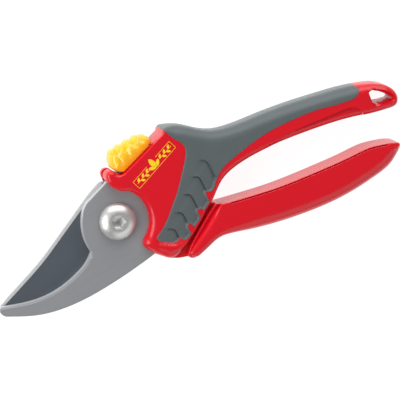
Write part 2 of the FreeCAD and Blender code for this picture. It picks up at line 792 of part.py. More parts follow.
def lock_pieces():
    """The button, the key that joins it to the lock, and the pin that holds the key."""
    button = prism("lock_button_whole", LOCK_OUTLINE, "2.0", "sizes.thickness - 2.0", "0.8", "0.8")
    key_outline = polygon([
        on_track(6.0, 4.0), on_track(11.0, 4.0), on_track(11.0, -5.4), on_track(6.0, -5.4),
    ])
    low = BLADE_Z + " + 0.1"
    high = BLADE_TOP + " - 0.1"
    key_whole = prism("lock_key_whole", key_outline, low, high)
    pin = disc("lock_pin", "1.8", "4.2", "12.6", on_track(8.5, -4.3))
    key = cut("lock_key", key_whole, disc("key_hole", "1.8", "0", "20", on_track(8.5, -4.3)))
    seat = prism("lock_button_seat", key_outline, low, high)
    return cut("lock_button", button, seat), key, pin


lock_button, lock_key, lock_pin = lock_pieces()
strike_outline = polygon([
    on_track(3.0, 0.15), on_track(22.0, 0.15), on_track(22.0, -0.5), on_track(3.0, -0.5),
])
strike = prism("lock_track_plate", strike_outline, "10.5", "15.5")
front_shell_with_strike = cut("upper_front_shell_with_strike", front_shell, strike)


# ---------------------------------------------------------------- check and write

NODES = {
    "upper_front_shell": front_shell_with_strike,
    "upper_rear_shell": rear_shell,
    "soft_grip_front": front_grip,
    "soft_grip_rear": rear_grip_holed,
    "leaf_badge": badge,
    "hook_blade": hook,
    "hook_rivet_1": hook_rivets[0],
    "hook_rivet_2": hook_rivets[1],
    "pivot_bolt": bolt,
    "pivot_bush": bush,
    "thrust_washer": thrust,
    "lock_washer": lock_washer,
    "pivot_nut": nut,
    "shell_screw_1": screws[0],
    "shell_screw_2": screws[1],
    "shell_screw_3": screws[2],
    "shell_screw_4": screws[3],
    "spring_seat_upper": upper_seat,
    "closing_bumper": bumper,
    "lock_track_plate": strike,
    "lower_handle": lower,
    "lower_inner_strip": strip,
    "cutting_blade": blade,
    "blade_rivet_1": blade_rivets[0],
    "blade_rivet_2": blade_rivets[1],
    "spring_seat_lower": lower_seat,
    "return_spring": spring,
    "lock_button": lock_button,
    "lock_key": lock_key,
    "lock_pin": lock_pin,
}

doc.recompute()
faulty = [item.Label for item in doc.Objects if {"Invalid", "Error"} & set(item.State)]
if faulty:
    raise RuntimeError("not built: " + ", ".join(faulty))
os.makedirs("parts", exist_ok=True)
for name, item in NODES.items():
    if item.Label != name:
        for other in doc.Objects:
            if other.Label == name:
                other.Label = name + "_before"
        item.Label = name
    shape = item.Shape
    if shape.isNull() or not shape.isValid():
        raise RuntimeError(name + " has no valid shape")
    print(name, "solids", len(shape.Solids), "volume %.1f" % shape.Volume)
    shape.exportStep("parts/%s.step" % name)
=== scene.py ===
# %% [markdown]
# # Bypass pruning shears
# A hook and a blade turn on one bolt. The hook sits in the upper handle, which is moulded in
# two red halves under a grey soft grip. The blade sits in the lower handle, which is red all
# over. A yellow thumb button on the top edge locks the shears shut.
#
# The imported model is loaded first. It fixes every size and place, so each piece below is drawn
# in the same millimetres and then written in metres.

# %% Load the frame
import math

import bpy
import numpy as np
from mathutils import Matrix, Vector
from mathutils.geometry import delaunay_2d_cdt


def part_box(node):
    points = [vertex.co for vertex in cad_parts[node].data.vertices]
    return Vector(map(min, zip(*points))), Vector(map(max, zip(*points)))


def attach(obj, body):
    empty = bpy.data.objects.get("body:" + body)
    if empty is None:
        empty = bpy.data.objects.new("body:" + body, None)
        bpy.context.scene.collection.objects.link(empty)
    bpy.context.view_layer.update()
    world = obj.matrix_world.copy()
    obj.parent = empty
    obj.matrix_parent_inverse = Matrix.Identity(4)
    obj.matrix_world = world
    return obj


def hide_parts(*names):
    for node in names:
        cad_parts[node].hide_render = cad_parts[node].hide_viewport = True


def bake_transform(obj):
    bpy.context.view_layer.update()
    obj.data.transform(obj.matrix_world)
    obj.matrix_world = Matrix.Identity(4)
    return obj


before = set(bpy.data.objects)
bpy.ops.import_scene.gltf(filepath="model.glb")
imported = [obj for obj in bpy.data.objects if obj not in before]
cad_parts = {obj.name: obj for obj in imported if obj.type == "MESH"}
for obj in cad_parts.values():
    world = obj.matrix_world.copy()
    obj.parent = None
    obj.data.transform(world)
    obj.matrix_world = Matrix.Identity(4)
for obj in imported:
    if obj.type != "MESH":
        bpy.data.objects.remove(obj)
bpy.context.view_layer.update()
MM = 0.001

# %% [markdown]
# ## Heights taken from the model
# The shears lie on their rear face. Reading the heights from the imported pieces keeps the
# pieces made here in step with the ones that turn and collide.

# %% Read the heights


def heights(node):
    """Lowest and highest Z of a node, in millimetres."""
    low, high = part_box(node)
    return low[2] / MM, high[2] / MM


def node_height(node):
    """How tall a node is, in millimetres."""
    low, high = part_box(node)
    return (high[2] - low[2]) / MM


def half_width(node):
    """Half a node's size along X, in millimetres: the radius of a round one."""
    low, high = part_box(node)
    return (high[0] - low[0]) / 2 / MM


def centre(node):
    """Middle of a node's box in the plane, in metres."""
    low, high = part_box(node)
    return (low[0] + high[0]) / 2, (low[1] + high[1]) / 2


FACE_REAR, PARTING = heights("upper_rear_shell")
FACE_FRONT = heights("upper_front_shell")[1]
HOOK_LOW, HOOK_HIGH = heights("hook_blade")
BLADE_LOW, BLADE_HIGH = heights("cutting_blade")
BOLT_TOP = heights("pivot_bolt")[1]
REAR_WALL = heights("spring_seat_upper")[0] - 0.1
HEAD_LOW = REAR_WALL + 0.3
HEAD_HIGH = HOOK_HIGH - 0.3
print("faces", FACE_REAR, FACE_FRONT, "hook", HOOK_LOW, HOOK_HIGH, "blade", BLADE_LOW, BLADE_HIGH)

# %% [markdown]
# ## Outlines
# Each flat piece is drawn as one closed outline of lines, arcs and smooth curves, the way a
# pattern maker draws it. The drawing is walked in short, even steps, so that every later step
# can treat it as a ring of points.

# %% Walk an outline


def arc_points(start, middle, end, step):
    """Points after start along the circle through three points."""
    (ax, ay), (bx, by), (cx, cy) = start, middle, end
    d = 2 * (ax * (by - cy) + bx * (cy - ay) + cx * (ay - by))
    a2, b2, c2 = ax * ax + ay * ay, bx * bx + by * by, cx * cx + cy * cy
    ux = (a2 * (by - cy) + b2 * (cy - ay) + c2 * (ay - by)) / d
    uy = (a2 * (cx - bx) + b2 * (ax - cx) + c2 * (bx - ax)) / d
    radius = math.hypot(ax - ux, ay - uy)
    first = math.atan2(ay - uy, ax - ux)
    middle_turn = (math.atan2(by - uy, bx - ux) - first) % math.tau
    end_turn = (math.atan2(cy - uy, cx - ux) - first) % math.tau
    if middle_turn > end_turn:
        end_turn -= math.tau
    count = max(2, round(abs(end_turn) * radius / step))
    turns = [first + end_turn * k / count for k in range(1, count + 1)]
    return [(ux + radius * math.cos(turn), uy + radius * math.sin(turn)) for turn in turns]


def curve_points(knots, step):
    """Points after the first knot along a natural cubic spline through the knots."""
    knots = np.array(knots, float)
    chord = np.linalg.norm(np.diff(knots, axis=0), axis=1)
    t = np.concatenate([[0], np.cumsum(chord)])
    n = len(knots)
    matrix = np.eye(n)
    right = np.zeros((n, 2))
    for k in range(1, n - 1):
        matrix[k, k - 1 : k + 2] = chord[k - 1], 2 * (chord[k - 1] + chord[k]), chord[k]
        right[k] = 6 * (
            (knots[k + 1] - knots[k]) / chord[k] - (knots[k] - knots[k - 1]) / chord[k - 1]
        )
    bend = np.linalg.solve(matrix, right)
    out = []
    for k in range(n - 1):
        count = max(1, round(chord[k] / step))
        for s in np.linspace(0, chord[k], count + 1)[1:]:
            rest = chord[k] - s
            point = (
                (bend[k] * rest**3 + bend[k + 1] * s**3) / (6 * chord[k])
                + (knots[k] / chord[k] - bend[k] * chord[k] / 6) * rest
                + (knots[k + 1] / chord[k] - bend[k + 1] * chord[k] / 6) * s
            )
            out.append((float(point[0]), float(point[1])))
    return out


def walk(outline, step=0.7):
    """Points along an outline: its start, then lines, arcs and curves."""
    points = [outline[0]]
    for kind, *stops in outline[1:]:
        here = points[-1]
        if kind == "line":
            count = max(1, round(math.dist(here, stops[0]) / step))
            for k in range(1, count + 1):
                points.append((
                    here[0] + (stops[0][0] - here[0]) * k / count,
                    here[1] + (stops[0][1] - here[1]) * k / count,
                ))
        elif kind == "arc":
            points += arc_points(here, stops[0], stops[1], step)
        else:
            points += curve_points([here, *stops], step)
    return points


def anticlockwise(ring):
    """The ring, turned round if it runs clockwise."""
    x, y = ring[:, 0], ring[:, 1]
    area = 0.5 * np.sum(x * np.roll(y, -1) - np.roll(x, -1) * y)
    return ring if area > 0 else ring[::-1].copy()


def straight(corners):
    """A closed outline of straight lines through the corners."""
    corners = [tuple(corner) for corner in corners]
    return [corners[0]] + [("line", corner) for corner in corners[1:] + corners[:1]]


def closed_ring(outline, step=0.7):
    """The outline as an anticlockwise ring with its last point left off."""
    ring = np.array(walk(outline, step))
    if np.linalg.norm(ring[0] - ring[-1]) < 1e-6:
        ring = ring[:-1]
    return anticlockwise(ring)


# %% [markdown]
# ## Distances
# Rounded edges, grooves and bevels all depend on how far a point is from some line. One
# function measures the distance to a ring or to an open line, another tells inside from
# outside, and two give the direction that stands square to a line.

# %% Measure distances


def distance(points, line, closed=True):
    """Distance of each point to a line, and the place on the line where it is nearest."""
    start = np.asarray(line, float)
    end = np.roll(start, -1, axis=0)
    if not closed:
        start, end = start[:-1], end[:-1]
    run = end - start
    length = np.maximum((run * run).sum(1), 1e-12)
    near = np.empty(len(points))
    place = np.empty(len(points))
    for k in range(0, len(points), 2000):
        part = points[k : k + 2000, None, :]
        t = np.clip(((part - start) * run).sum(2) / length, 0, 1)
        gap = np.linalg.norm(part - (start + t[..., None] * run), axis=2)
        best = gap.argmin(1)
        rows = np.arange(len(best))
        near[k : k + 2000] = gap[rows, best]
        place[k : k + 2000] = best + t[rows, best]
    return near, place


def inside(points, ring):
    """True for each point inside the ring."""
    x, y = points[:, 0], points[:, 1]
    result = np.zeros(len(points), bool)
    for (ax, ay), (bx, by) in zip(ring, np.roll(ring, -1, axis=0)):
        crosses = (ay > y) != (by > y)
        with np.errstate(divide="ignore", invalid="ignore"):
            at = (bx - ax) * (y - ay) / (by - ay) + ax
        result ^= crosses & (x < at)
    return result


def left_of(run):
    """Unit directions that point to the left of each run."""
    return np.stack([-run[:, 1], run[:, 0]], 1) / np.linalg.norm(run, axis=1)[:, None]


def inward_of(ring):
    """Unit directions that point into an anticlockwise ring, one for each of its points."""
    return left_of(np.roll(ring, -1, axis=0) - np.roll(ring, 1, axis=0))


def at_place(values, place):
    """The value that belongs to the ring's point nearest to each place."""
    return values[np.round(place).astype(int) % len(values)]


def ease(value, low, high):
    """0 below low, 1 above high, smooth between."""
    t = np.clip((value - low) / (high - low), 0, 1)
    return t * t * (3 - 2 * t)


def quarter(distance_in, radius):
    """How far a rounded edge of this radius lies below the face, at a distance in from it."""
    radius = np.maximum(radius, 1e-6)
    t = np.clip(distance_in / radius, 0, 1)
    return radius * (1 - np.sqrt(np.maximum(0, 1 - (1 - t) ** 2)))


# %% [markdown]
# ## A moulded slab
# Most pieces are slabs: an outline with a face in front and one behind, rounded edges, and
# some relief. They could be box-modelled, but then the outline, the rounding and the relief
# would all fight for the same few faces. Here the outline is filled with a fine mesh instead:
# rows that follow the edge where it curves over, and an even scatter elsewhere. The height of
# every point then comes from a rule, one for the front and one for the back.

# %% Build a slab from its outline and two height rules


def edge_rows(ring, radius, rows):
    """Points inside the ring that follow its rounded edge."""
    inward = inward_of(ring)
    found = []
    for k in range(1, rows + 1):
        step = radius * (1 - math.cos(k * math.pi / 2 / rows))
        points = ring + inward * step[:, None]
        gap, _ = distance(points, ring)
        keep = (gap > 0.96 * step) & inside(points, ring)
        found.append(points[keep])
    return found


def scatter(ring, spacing):
    """An even triangular pattern of points over the ring's box."""
    low, high = ring.min(0), ring.max(0)
    rows = []
    for k, y in enumerate(np.arange(low[1], high[1], spacing * 0.866)):
        xs = np.arange(low[0] + (k % 2) * spacing / 2, high[0], spacing)
        rows.append(np.stack([xs, np.full(len(xs), y)], 1))
    return np.concatenate(rows)


def beside(line, offset):
    """Two lines just beside a line, so that a step there comes out crisp."""
    line = np.asarray(line, float)
    left = left_of(np.gradient(line, axis=0))
    return [line + left * offset, line - left * offset]


def fill(ring, radius, spacing, rows=5, holes=(), lines=()):
    """Triangles over the ring less its holes; returns points and faces."""
    loose = scatter(ring, spacing)
    reach, place = distance(loose, ring)
    local = at_place(radius, place)
    room = np.maximum(local, 0.3 * spacing) + 0.25 * spacing
    loose = loose[(reach > room) & inside(loose, ring)]
    near = edge_rows(ring, radius, rows)
    kept = []
    for line in lines:
        clear = inside(line, ring) & (distance(line, ring)[0] > 0.12)
        for hole in holes:
            clear &= ~inside(line, hole) & (distance(line, hole)[0] > 0.12)
        kept.append((line, clear))
        if clear.any():
            loose = loose[distance(loose, line[clear])[0] > 0.45 * spacing]
            near = [row[distance(row, line[clear], closed=False)[0] > 0.15] for row in near]
    parts = [ring, *near, loose]
    loops = [list(range(len(ring)))]
    for hole in holes:
        parts = [parts[0], *[part[~inside(part, hole)] for part in parts[1:]]]
        base = sum(len(part) for part in parts)
        parts.append(hole)
        loops.append(list(range(base, base + len(hole))))
    edges = []
    for line, clear in kept:
        base = sum(len(part) for part in parts)
        number = np.cumsum(clear) - 1 + base
        parts.append(line[clear])
        for k in np.flatnonzero(clear[:-1] & clear[1:]):
            edges.append((int(number[k]), int(number[k + 1])))
    points = np.concatenate(parts)
    verts = [Vector((float(x), float(y))) for x, y in points]
    flat, _, faces, *_ = delaunay_2d_cdt(verts, edges, loops, 1, 1e-4)
    flat = np.array([(v.x, v.y) for v in flat])
    faces = np.array([tuple(face) for face in faces])
    for hole in holes:
        faces = faces[~inside(flat[faces].mean(1), hole)]
    return flat, faces.tolist()


def slab(name, ring, front, back, spacing, radius=0.5, rows=5, holes=(), lines=()):
    """A closed mesh between two height rules, each a function of the points."""
    if np.isscalar(radius):
        radius = np.full(len(ring), float(radius))
    flat, faces = fill(ring, radius, spacing, rows, holes, lines)
    over, under = front(flat), back(flat)
    count = len(flat)
    corners = [(x, y, z) for (x, y), z in zip(flat, over)]
    corners += [(x, y, z) for (x, y), z in zip(flat, under)]
    sides = {}
    solid = []
    for face in faces:
        a, b, c = face
        pa, pb, pc = flat[a], flat[b], flat[c]
        turn = (pb[0] - pa[0]) * (pc[1] - pa[1]) - (pb[1] - pa[1]) * (pc[0] - pa[0])
        if turn < 0:
            face = (a, c, b)
        solid.append(face)
        solid.append(tuple(count + k for k in reversed(face)))
        for k in range(3):
            edge = (face[k], face[(k + 1) % 3])
            if edge[::-1] in sides:
                del sides[edge[::-1]]
            else:
                sides[edge] = True
    for a, b in sides:
        solid.append((b, a, count + a, count + b))
    mesh = bpy.data.meshes.new(name)
    mesh.from_pydata(in_metres(corners), [], solid)
    return finish_mesh(name, mesh)


def in_metres(corners):
    """Corners in millimetres as plain tuples in metres."""
    return [tuple(float(v) * MM for v in corner) for corner in corners]


def tube(name, corners, size, sharp=38):
    """A closed mesh through rows of corners, each row going once round with size corners."""
    last = len(corners) - size
    faces = []
    for row in range(0, last, size):
        for k in range(size):
            a, b = row + k, row + (k + 1) % size
            faces.append((a, b, b + size, a + size))
    faces.append(tuple(reversed(range(size))))
    faces.append(tuple(range(last, last + size)))
    mesh = bpy.data.meshes.new(name)
    mesh.from_pydata(in_metres(corners), [], faces)
    mesh.update()
    return finish_mesh(name, mesh, sharp)


def finish_mesh(name, mesh, sharp=38):
    """Smooth faces with sharp corners, checked and put in the scene."""
    mesh.validate()
    mesh.shade_smooth()
    mesh.set_sharp_from_angle(angle=math.radians(sharp))
    piece = bpy.data.objects.new(name, mesh)
    bpy.context.scene.collection.objects.link(piece)
    print(name, len(mesh.vertices), "points", len(mesh.polygons), "faces")
    return piece


def join(name, pieces):
    """Several closed pieces as one object."""
    corners = []
    faces = []
    for piece in pieces:
        base = len(corners)
        corners += [tuple(v.co) for v in piece.data.vertices]
        faces += [tuple(base + k for k in p.vertices) for p in piece.data.polygons]
        old = piece.data
        bpy.data.objects.remove(piece)
        bpy.data.meshes.remove(old)
    mesh = bpy.data.meshes.new(name)
    mesh.from_pydata(corners, [], faces)
    return finish_mesh(name, mesh)


# %% [markdown]
# ## Finishes
# Every finish is a node material. Moulded plastic is a clear, strong colour under a smooth
# skin: its life comes from a faint unevenness in gloss and from tiny waves in the surface.
# Steel shows which way it was ground. Rubber scatters light and has a fine grain. Each recipe
# below mixes two close shades with noise, varies the roughness, and adds a bump.

# %% A recipe for the materials


def add_node(tree, kind, settings):
    """A new node with its inputs set."""
    node = tree.nodes.new(kind)
    for label, value in settings.items():
        node.inputs[label].default_value = value
    return node


def noise(tree, place, scale, detail):
    """Noise read at a place; returns its value."""
    node = add_node(tree, "ShaderNodeTexNoise", {"Scale": scale, "Detail": detail})
    tree.links.new(place, node.inputs["Vector"])
    return node.outputs["Fac"]


def ranged(tree, value, limits):
    """A value taken from one range to another."""
    node = add_node(tree, "ShaderNodeMapRange", limits)
    tree.links.new(value, node.inputs["Value"])
    return node.outputs["Result"]


def colour_mix(tree, share):
    """A mix of two colours: 6 where share is 0, 7 where it is 1."""
    node = tree.nodes.new("ShaderNodeMix")
    node.data_type = "RGBA"
    tree.links.new(share, node.inputs[0])
    return node


def lay_over(tree, colour, shade, share):
    """The colour with a shade laid over it."""
    mix = colour_mix(tree, share)
    mix.inputs[7].default_value = (*shade, 1)
    tree.links.new(colour, mix.inputs[6])
    return mix.outputs[2]


def standing_share(tree, sides):
    """1 where the surface stands up and 0 where it lies flat."""
    facing = tree.nodes.new("ShaderNodeNewGeometry")
    parts = tree.nodes.new("ShaderNodeSeparateXYZ")
    tree.links.new(facing.outputs["Normal"], parts.inputs["Vector"])
    upright = tree.nodes.new("ShaderNodeMath")
    upright.operation = "ABSOLUTE"
    tree.links.new(parts.outputs["Z"], upright.inputs[0])
    return ranged(tree, upright.outputs[0], {"From Min": sides[0], "From Max": sides[1]})


def finish(name, shade, other, rough, metal=0.0, grain=900.0, depth=0.00002, mix_scale=60.0,
           stretch=(1.0, 1.0, 1.0), coat=0.0, spread=0.05, wear_and_highlight=None, ground=None,
           sides=(0.75, 0.45), gleam=0.5):
    """A material with two close shades, uneven roughness and a fine bump.

    The corner shade lightens sharp corners and the ground shade lightens sides that stand up; on the
    blade both are partly bare steel and partly a painted highlight along the spine. A side begins
    where the upright share of its direction falls below the first of sides.
    """
    material = bpy.data.materials.new(name)
    material.use_nodes = True
    tree = material.node_tree
    shader = tree.nodes["Principled BSDF"]
    shader.inputs["Metallic"].default_value = metal
    shader.inputs["Coat Weight"].default_value = coat
    shader.inputs["Coat Roughness"].default_value = 0.08
    shader.inputs["Specular IOR Level"].default_value = gleam
    where = tree.nodes.new("ShaderNodeTexCoord")
    turn = add_node(tree, "ShaderNodeMapping", {"Scale": stretch})
    tree.links.new(where.outputs["Object"], turn.inputs["Vector"])

    shades = colour_mix(tree, noise(tree, turn.outputs["Vector"], mix_scale, 4.0))
    shades.inputs[6].default_value = (*shade, 1)
    shades.inputs[7].default_value = (*other, 1)
    colour = shades.outputs[2]

    fine = noise(tree, turn.outputs["Vector"], grain, 3.0)
    level = ranged(tree, fine, {"To Min": max(0.02, rough - spread), "To Max": rough + spread})
    tree.links.new(level, shader.inputs["Roughness"])

    # Lighter sharp corners: on the blade, partly rubbed steel at the cutting edge and partly a
    # painted highlight on the spine.
    if wear_and_highlight is not None:
        shape = tree.nodes.new("ShaderNodeNewGeometry")
        edge = ranged(tree, shape.outputs["Pointiness"], {"From Min": 0.52, "From Max": 0.62})
        colour = lay_over(tree, colour, wear_and_highlight, edge)
    # Lighter standing sides: on the blade, partly bare ground steel and partly a painted highlight
    # on the sloped spine.
    if ground is not None:
        colour = lay_over(tree, colour, ground, standing_share(tree, sides))
    tree.links.new(colour, shader.inputs["Base Color"])

    bump = add_node(tree, "ShaderNodeBump", {"Distance": depth})
    tree.links.new(fine, bump.inputs["Height"])
    tree.links.new(bump.outputs["Normal"], shader.inputs["Normal"])
    material.diffuse_color = (*shade, 1)
    return material


def set_shader(material, settings):
    """Sets some of the shader's own inputs."""
    shader = material.node_tree.nodes["Principled BSDF"]
    for label, value in settings.items():
        shader.inputs[label].default_value = value


def paint_foot_shade(material):
    """Paints shade on the button: deeper orange towards its foot, measured square to the lock's
    track.
    """
    tree = material.node_tree
    where = tree.nodes.new("ShaderNodeTexCoord")
    climb = tree.nodes.new("ShaderNodeVectorMath")
    climb.operation = "DOT_PRODUCT"
    climb.inputs[1].default_value = (-0.287, 0.958, 0.0)
    tree.links.new(where.outputs["Object"], climb.inputs[0])
    level = ranged(tree, climb.outputs["Value"], {"From Min": 0.0146, "From Max": 0.0206})
    shades = tree.nodes["Mix"]
    # The deeper orange laid in at the foot is painted shade.
    painted_shade = colour_mix(tree, level)
    painted_shade.inputs[6].default_value = (0.93, 0.30, 0.006, 1)
    tree.links.new(shades.outputs[2], painted_shade.inputs[7])
    tree.links.new(painted_shade.outputs[2], tree.nodes["Principled BSDF"].inputs["Base Color"])


red_plastic = finish(
    "red_plastic", (0.72, 0.004, 0.016), (0.69, 0.003, 0.013), 0.31, grain=300.0,
    depth=0.000002, coat=0.22, spread=0.03, gleam=0.38,
)
soft_grip = finish(
    "soft_grip", (0.105, 0.125, 0.13), (0.09, 0.11, 0.115), 0.46, grain=2600.0,
    depth=0.00004, mix_scale=140.0, spread=0.07,
)
set_shader(soft_grip, {"Sheen Weight": 0.4, "Sheen Roughness": 0.35})
yellow_plastic = finish(
    "yellow_plastic", (1.0, 0.62, 0.012), (1.0, 0.56, 0.010), 0.24, grain=300.0,
    depth=0.000002, coat=0.25, spread=0.03,
)
set_shader(yellow_plastic, {"Subsurface Weight": 0.25, "Subsurface Radius": (0.004, 0.0018, 0.0004)})
# The button gets painted shade: its colour turns deeper orange towards its foot.
paint_foot_shade(yellow_plastic)
yellow_print = finish(
    "yellow_print", (1.0, 0.66, 0.02), (1.0, 0.60, 0.02), 0.35, grain=900.0,
    depth=0.00001, spread=0.04,
)
hook_steel = finish(
    "hook_steel", (0.30, 0.305, 0.32), (0.27, 0.275, 0.29), 0.42, metal=0.12, grain=700.0,
    depth=0.000012, mix_scale=220.0, stretch=(0.25, 2.2, 1.0), spread=0.08,
    ground=(0.55, 0.555, 0.57), sides=(0.5, 0.25),
)
# The blade's lighter corners and sloped spine are partly a painted highlight: the bright
# surroundings mirrored in the spine.
blade_steel = finish(
    "blade_steel", (0.108, 0.126, 0.148), (0.095, 0.111, 0.131), 0.40, metal=0.3, grain=1400.0,
    depth=0.00001, mix_scale=120.0, spread=0.06, wear_and_highlight=(0.5, 0.51, 0.52), ground=(0.42, 0.43, 0.44),
    sides=(0.96, 0.85),
)
bright_steel = finish(
    "bright_steel", (0.70, 0.70, 0.67), (0.60, 0.60, 0.58), 0.38, metal=0.75, grain=900.0,
    depth=0.000008, mix_scale=300.0, spread=0.06,
)
zinc_steel = finish(
    "zinc_steel", (0.52, 0.53, 0.54), (0.45, 0.46, 0.48), 0.34, metal=0.9, grain=1100.0,
    depth=0.00001, mix_scale=260.0, spread=0.08,
)
spring_steel = finish(
    "spring_steel", (0.36, 0.36, 0.38), (0.28, 0.28, 0.30), 0.30, metal=0.95, grain=1500.0,
    depth=0.00001, mix_scale=400.0, spread=0.06,
)
bronze = finish(
    "bronze", (0.50, 0.31, 0.13), (0.42, 0.25, 0.10), 0.42, metal=0.9, grain=1600.0,
    depth=0.00002, mix_scale=300.0, spread=0.08,
)
bumper_rubber = finish(
    "bumper_rubber", (0.03, 0.03, 0.03), (0.04, 0.04, 0.04), 0.65, grain=1800.0,
    depth=0.00004, spread=0.08,
)
print("finishes", len(bpy.data.materials))


def coat_with(piece, material):
    """Gives a piece one finish all over."""
    piece.data.materials.clear()
    piece.data.materials.append(material)


def dress(piece, material, body):
    """Gives a piece its finish and the body it moves with."""
    coat_with(piece, material)
    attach(piece, body)
    return piece


# %% [markdown]
# ## The upper handle's shape
# One outline holds the body and the handle: the mouth round the pivot, the nose, the lock's
# flat track, the hump over the palm, the long back, the round end and the underside. How
# round the edge is changes on the way: nearly sharp along the track, softer at the nose and
# the mouth, full at the back where the palm lies.

# %% Outline of the upper handle
TRACK_FROM = (13.2, 18.7)
TRACK_TO = (37.6, 26.0)
TRACK_TURN = math.atan2(TRACK_TO[1] - TRACK_FROM[1], TRACK_TO[0] - TRACK_FROM[0])


def on_track(along, above):
    """A point so far along the lock's track and so far out from it."""
    return (
        TRACK_FROM[0] + along * math.cos(TRACK_TURN) - above * math.sin(TRACK_TURN),
        TRACK_FROM[1] + along * math.sin(TRACK_TURN) + above * math.cos(TRACK_TURN),
    )


UPPER_OUTLINE = [
    (8.6, -22.4),
    ("line", (5.8, -17.8)),
    ("arc", (5.7, -15.0), (8.2, -12.6)),
    ("arc", (15.1, 0.0), (11.0, 10.35)),
    ("arc", (6.4, 13.7), (4.4, 18.8)),
    ("line", (4.6, 20.8)),
    ("arc", (7.3, 23.1), (9.8, 20.9)),
    ("arc", (10.9, 19.3), TRACK_FROM),
    ("line", TRACK_TO),
    ("arc", (38.7, 27.4), (40.6, 27.9)),
    ("curve", (44.1, 26.7), (49.0, 23.4), (54.0, 18.9), (59.6, 15.1), (66.9, 12.7),
     (83.0, 10.3), (98.9, 7.6), (114.2, 4.2), (129.2, 0.0), (137.2, -3.5)),
    ("curve", (141.6, -6.9), (144.0, -10.8), (144.2, -14.6), (142.2, -17.4), (138.4, -17.5)),
    ("curve", (131.5, -15.8), (120.5, -12.4), (105.0, -8.8), (89.0, -6.1), (73.0, -4.5),
     (61.0, -4.9), (52.8, -7.0), (47.4, -10.3), (43.6, -13.2)),
    ("curve", (40.2, -14.9), (37.1, -16.9), (29.3, -21.7), (24.7, -24.2), (20.4, -26.4)),
    ("arc", (15.4, -27.9), (11.6, -25.6)),
    ("line", (8.6, -22.4)),
]
HOLE_OUTLINE = [
    (132.6, -5.9),
    ("arc", (134.2, -5.4), (135.7, -6.4)),
    ("arc", (138.9, -9.4), (141.0, -12.2)),
    ("arc", (141.3, -13.5), (140.0, -13.8)),
    ("line", (133.4, -12.4)),
    ("arc", (132.4, -11.6), (132.1, -10.2)),
    ("line", (132.6, -5.9)),
]
upper_ring = closed_ring(UPPER_OUTLINE, 0.6)
hole_ring = closed_ring(HOLE_OUTLINE, 0.5)


def upper_round(points):
    """Radius of the rounded edge at each point of the outline."""
    x, y = points[:, 0], points[:, 1]
    back = 0.8 + 4.6 * ease(x, 37.0, 45.0) - 2.0 * ease(x, 126.0, 138.0)
    belly = 1.1 + 1.6 * ease(x, 44.0, 56.0) + 0.4 * ease(x, 126.0, 138.0)
    middle = np.where(x < 44.0, 0.0, 5.0 - 0.115 * (x - 44.0))
    mix = ease(y - middle, -3.0, 3.0)
    track = 0.6 + 1.7 * (1 - ease(x, 9.5, 12.5))
    mouth = 2.2 + 1.2 * ease(-y, 2.0, 14.0)
    body = np.where(y > 12.0 + 0.2 * x, track, mouth)
    body = np.where((x > 15.0) & (y < -10.0), 3.4 - 2.7 * ease(x, 17.0, 25.0), body)
    return np.where(x < 37.0, body, mix * back + (1 - mix) * belly)


upper_radius = upper_round(upper_ring)
print("upper outline", len(upper_ring), "points, radius", upper_radius.min(), upper_radius.max())

# %% [markdown]
# ## Where the soft grip lies
# The grip is moulded over the red core. On the body it is a pad with chevron steps that the
# heel of the hand pushes against, and three red teeth of the core reach into it. From there
# it narrows over the waist and covers the whole back of the handle.

# %% Outline of the soft grip
GRIP_EDGE = [
    (39.0, 27.3),
    ("curve", (40.6, 22.7), (42.6, 19.2), (43.7, 16.6), (42.9, 13.1), (38.8, 7.7), (34.1, 2.3),
     (29.7, -2.2), (24.9, -6.4), (20.8, -10.0), (17.0, -12.6), (13.9, -14.4)),
    ("arc", (12.2, -16.8), (13.8, -18.8)),
    ("curve", (15.6, -20.1), (17.3, -21.2), (19.3, -22.1), (20.7, -22.0)),
    ("line", (22.2, -21.4)),
    ("line", (22.9, -23.2)),
    ("line", (25.0, -23.1)),
    ("line", (27.5, -21.8)),
    ("curve", (27.5, -20.0), (27.7, -18.3), (28.4, -17.2)),
    ("line", (29.3, -17.7)),
    ("line", (30.2, -19.9)),
    ("line", (34.9, -17.4)),
    ("curve", (35.0, -16.2), (35.0, -14.6), (35.5, -13.4)),
    ("line", (36.8, -13.7)),
    ("line", (37.8, -15.3)),
    ("line", (42.0, -12.9)),
    ("curve", (42.2, -11.3), (42.3, -9.7), (42.8, -8.0)),
    ("line", (44.6, -9.0)),
    ("curve", (46.6, -8.6), (48.3, -7.0), (50.4, -5.0)),
    ("curve", (53.1, -3.2), (56.8, -1.6), (61.0, -0.6), (66.0, 0.2), (72.6, 1.2), (84.5, 1.9),
     (92.9, 1.4), (101.3, 0.5), (109.3, -1.0), (117.0, -3.1), (123.4, -4.4)),
    ("curve", (127.0, -4.2), (128.8, -2.9), (129.3, -1.3), (128.7, 0.1)),
]
grip_edge = np.array(walk(GRIP_EDGE, 0.5))


def part_of_ring(ring, start, end):
    """The points of the ring from near start to near end, in its own order."""
    first = int(np.linalg.norm(ring - start, axis=1).argmin())
    last = int(np.linalg.norm(ring - end, axis=1).argmin())
    if last < first:
        last += len(ring)
    return ring[np.arange(first, last + 1) % len(ring)]


back_line = part_of_ring(upper_ring, grip_edge[-1], grip_edge[0])
grip_ring = anticlockwise(np.concatenate([grip_edge[1:-1], back_line]))


def drawn_in(ring, line, amount):
    """The ring with its part along a line moved inwards, tapering at the line's ends."""
    near, place = distance(ring, line, closed=False)
    last = len(line) - 1
    share = ease(np.minimum(place, last - place), 0.0, 3.0) * (near < 0.3)
    return ring + inward_of(ring) * (amount * share)[:, None]


core_ring = drawn_in(upper_ring, back_line, 0.9)
print("grip outline", len(grip_ring), "points, back", len(back_line))

# %% [markdown]
# ## Height rules of the upper handle
# The face is flat with a rounded edge. The red parts also have a long groove above the
# underside, and under the grip the core sits lower so that the grip can lie in it. The grip
# stands a hair proud of the red, and its own edge is turned over into the seam. Round the
# lower end of the pad the red rises to a low rim.

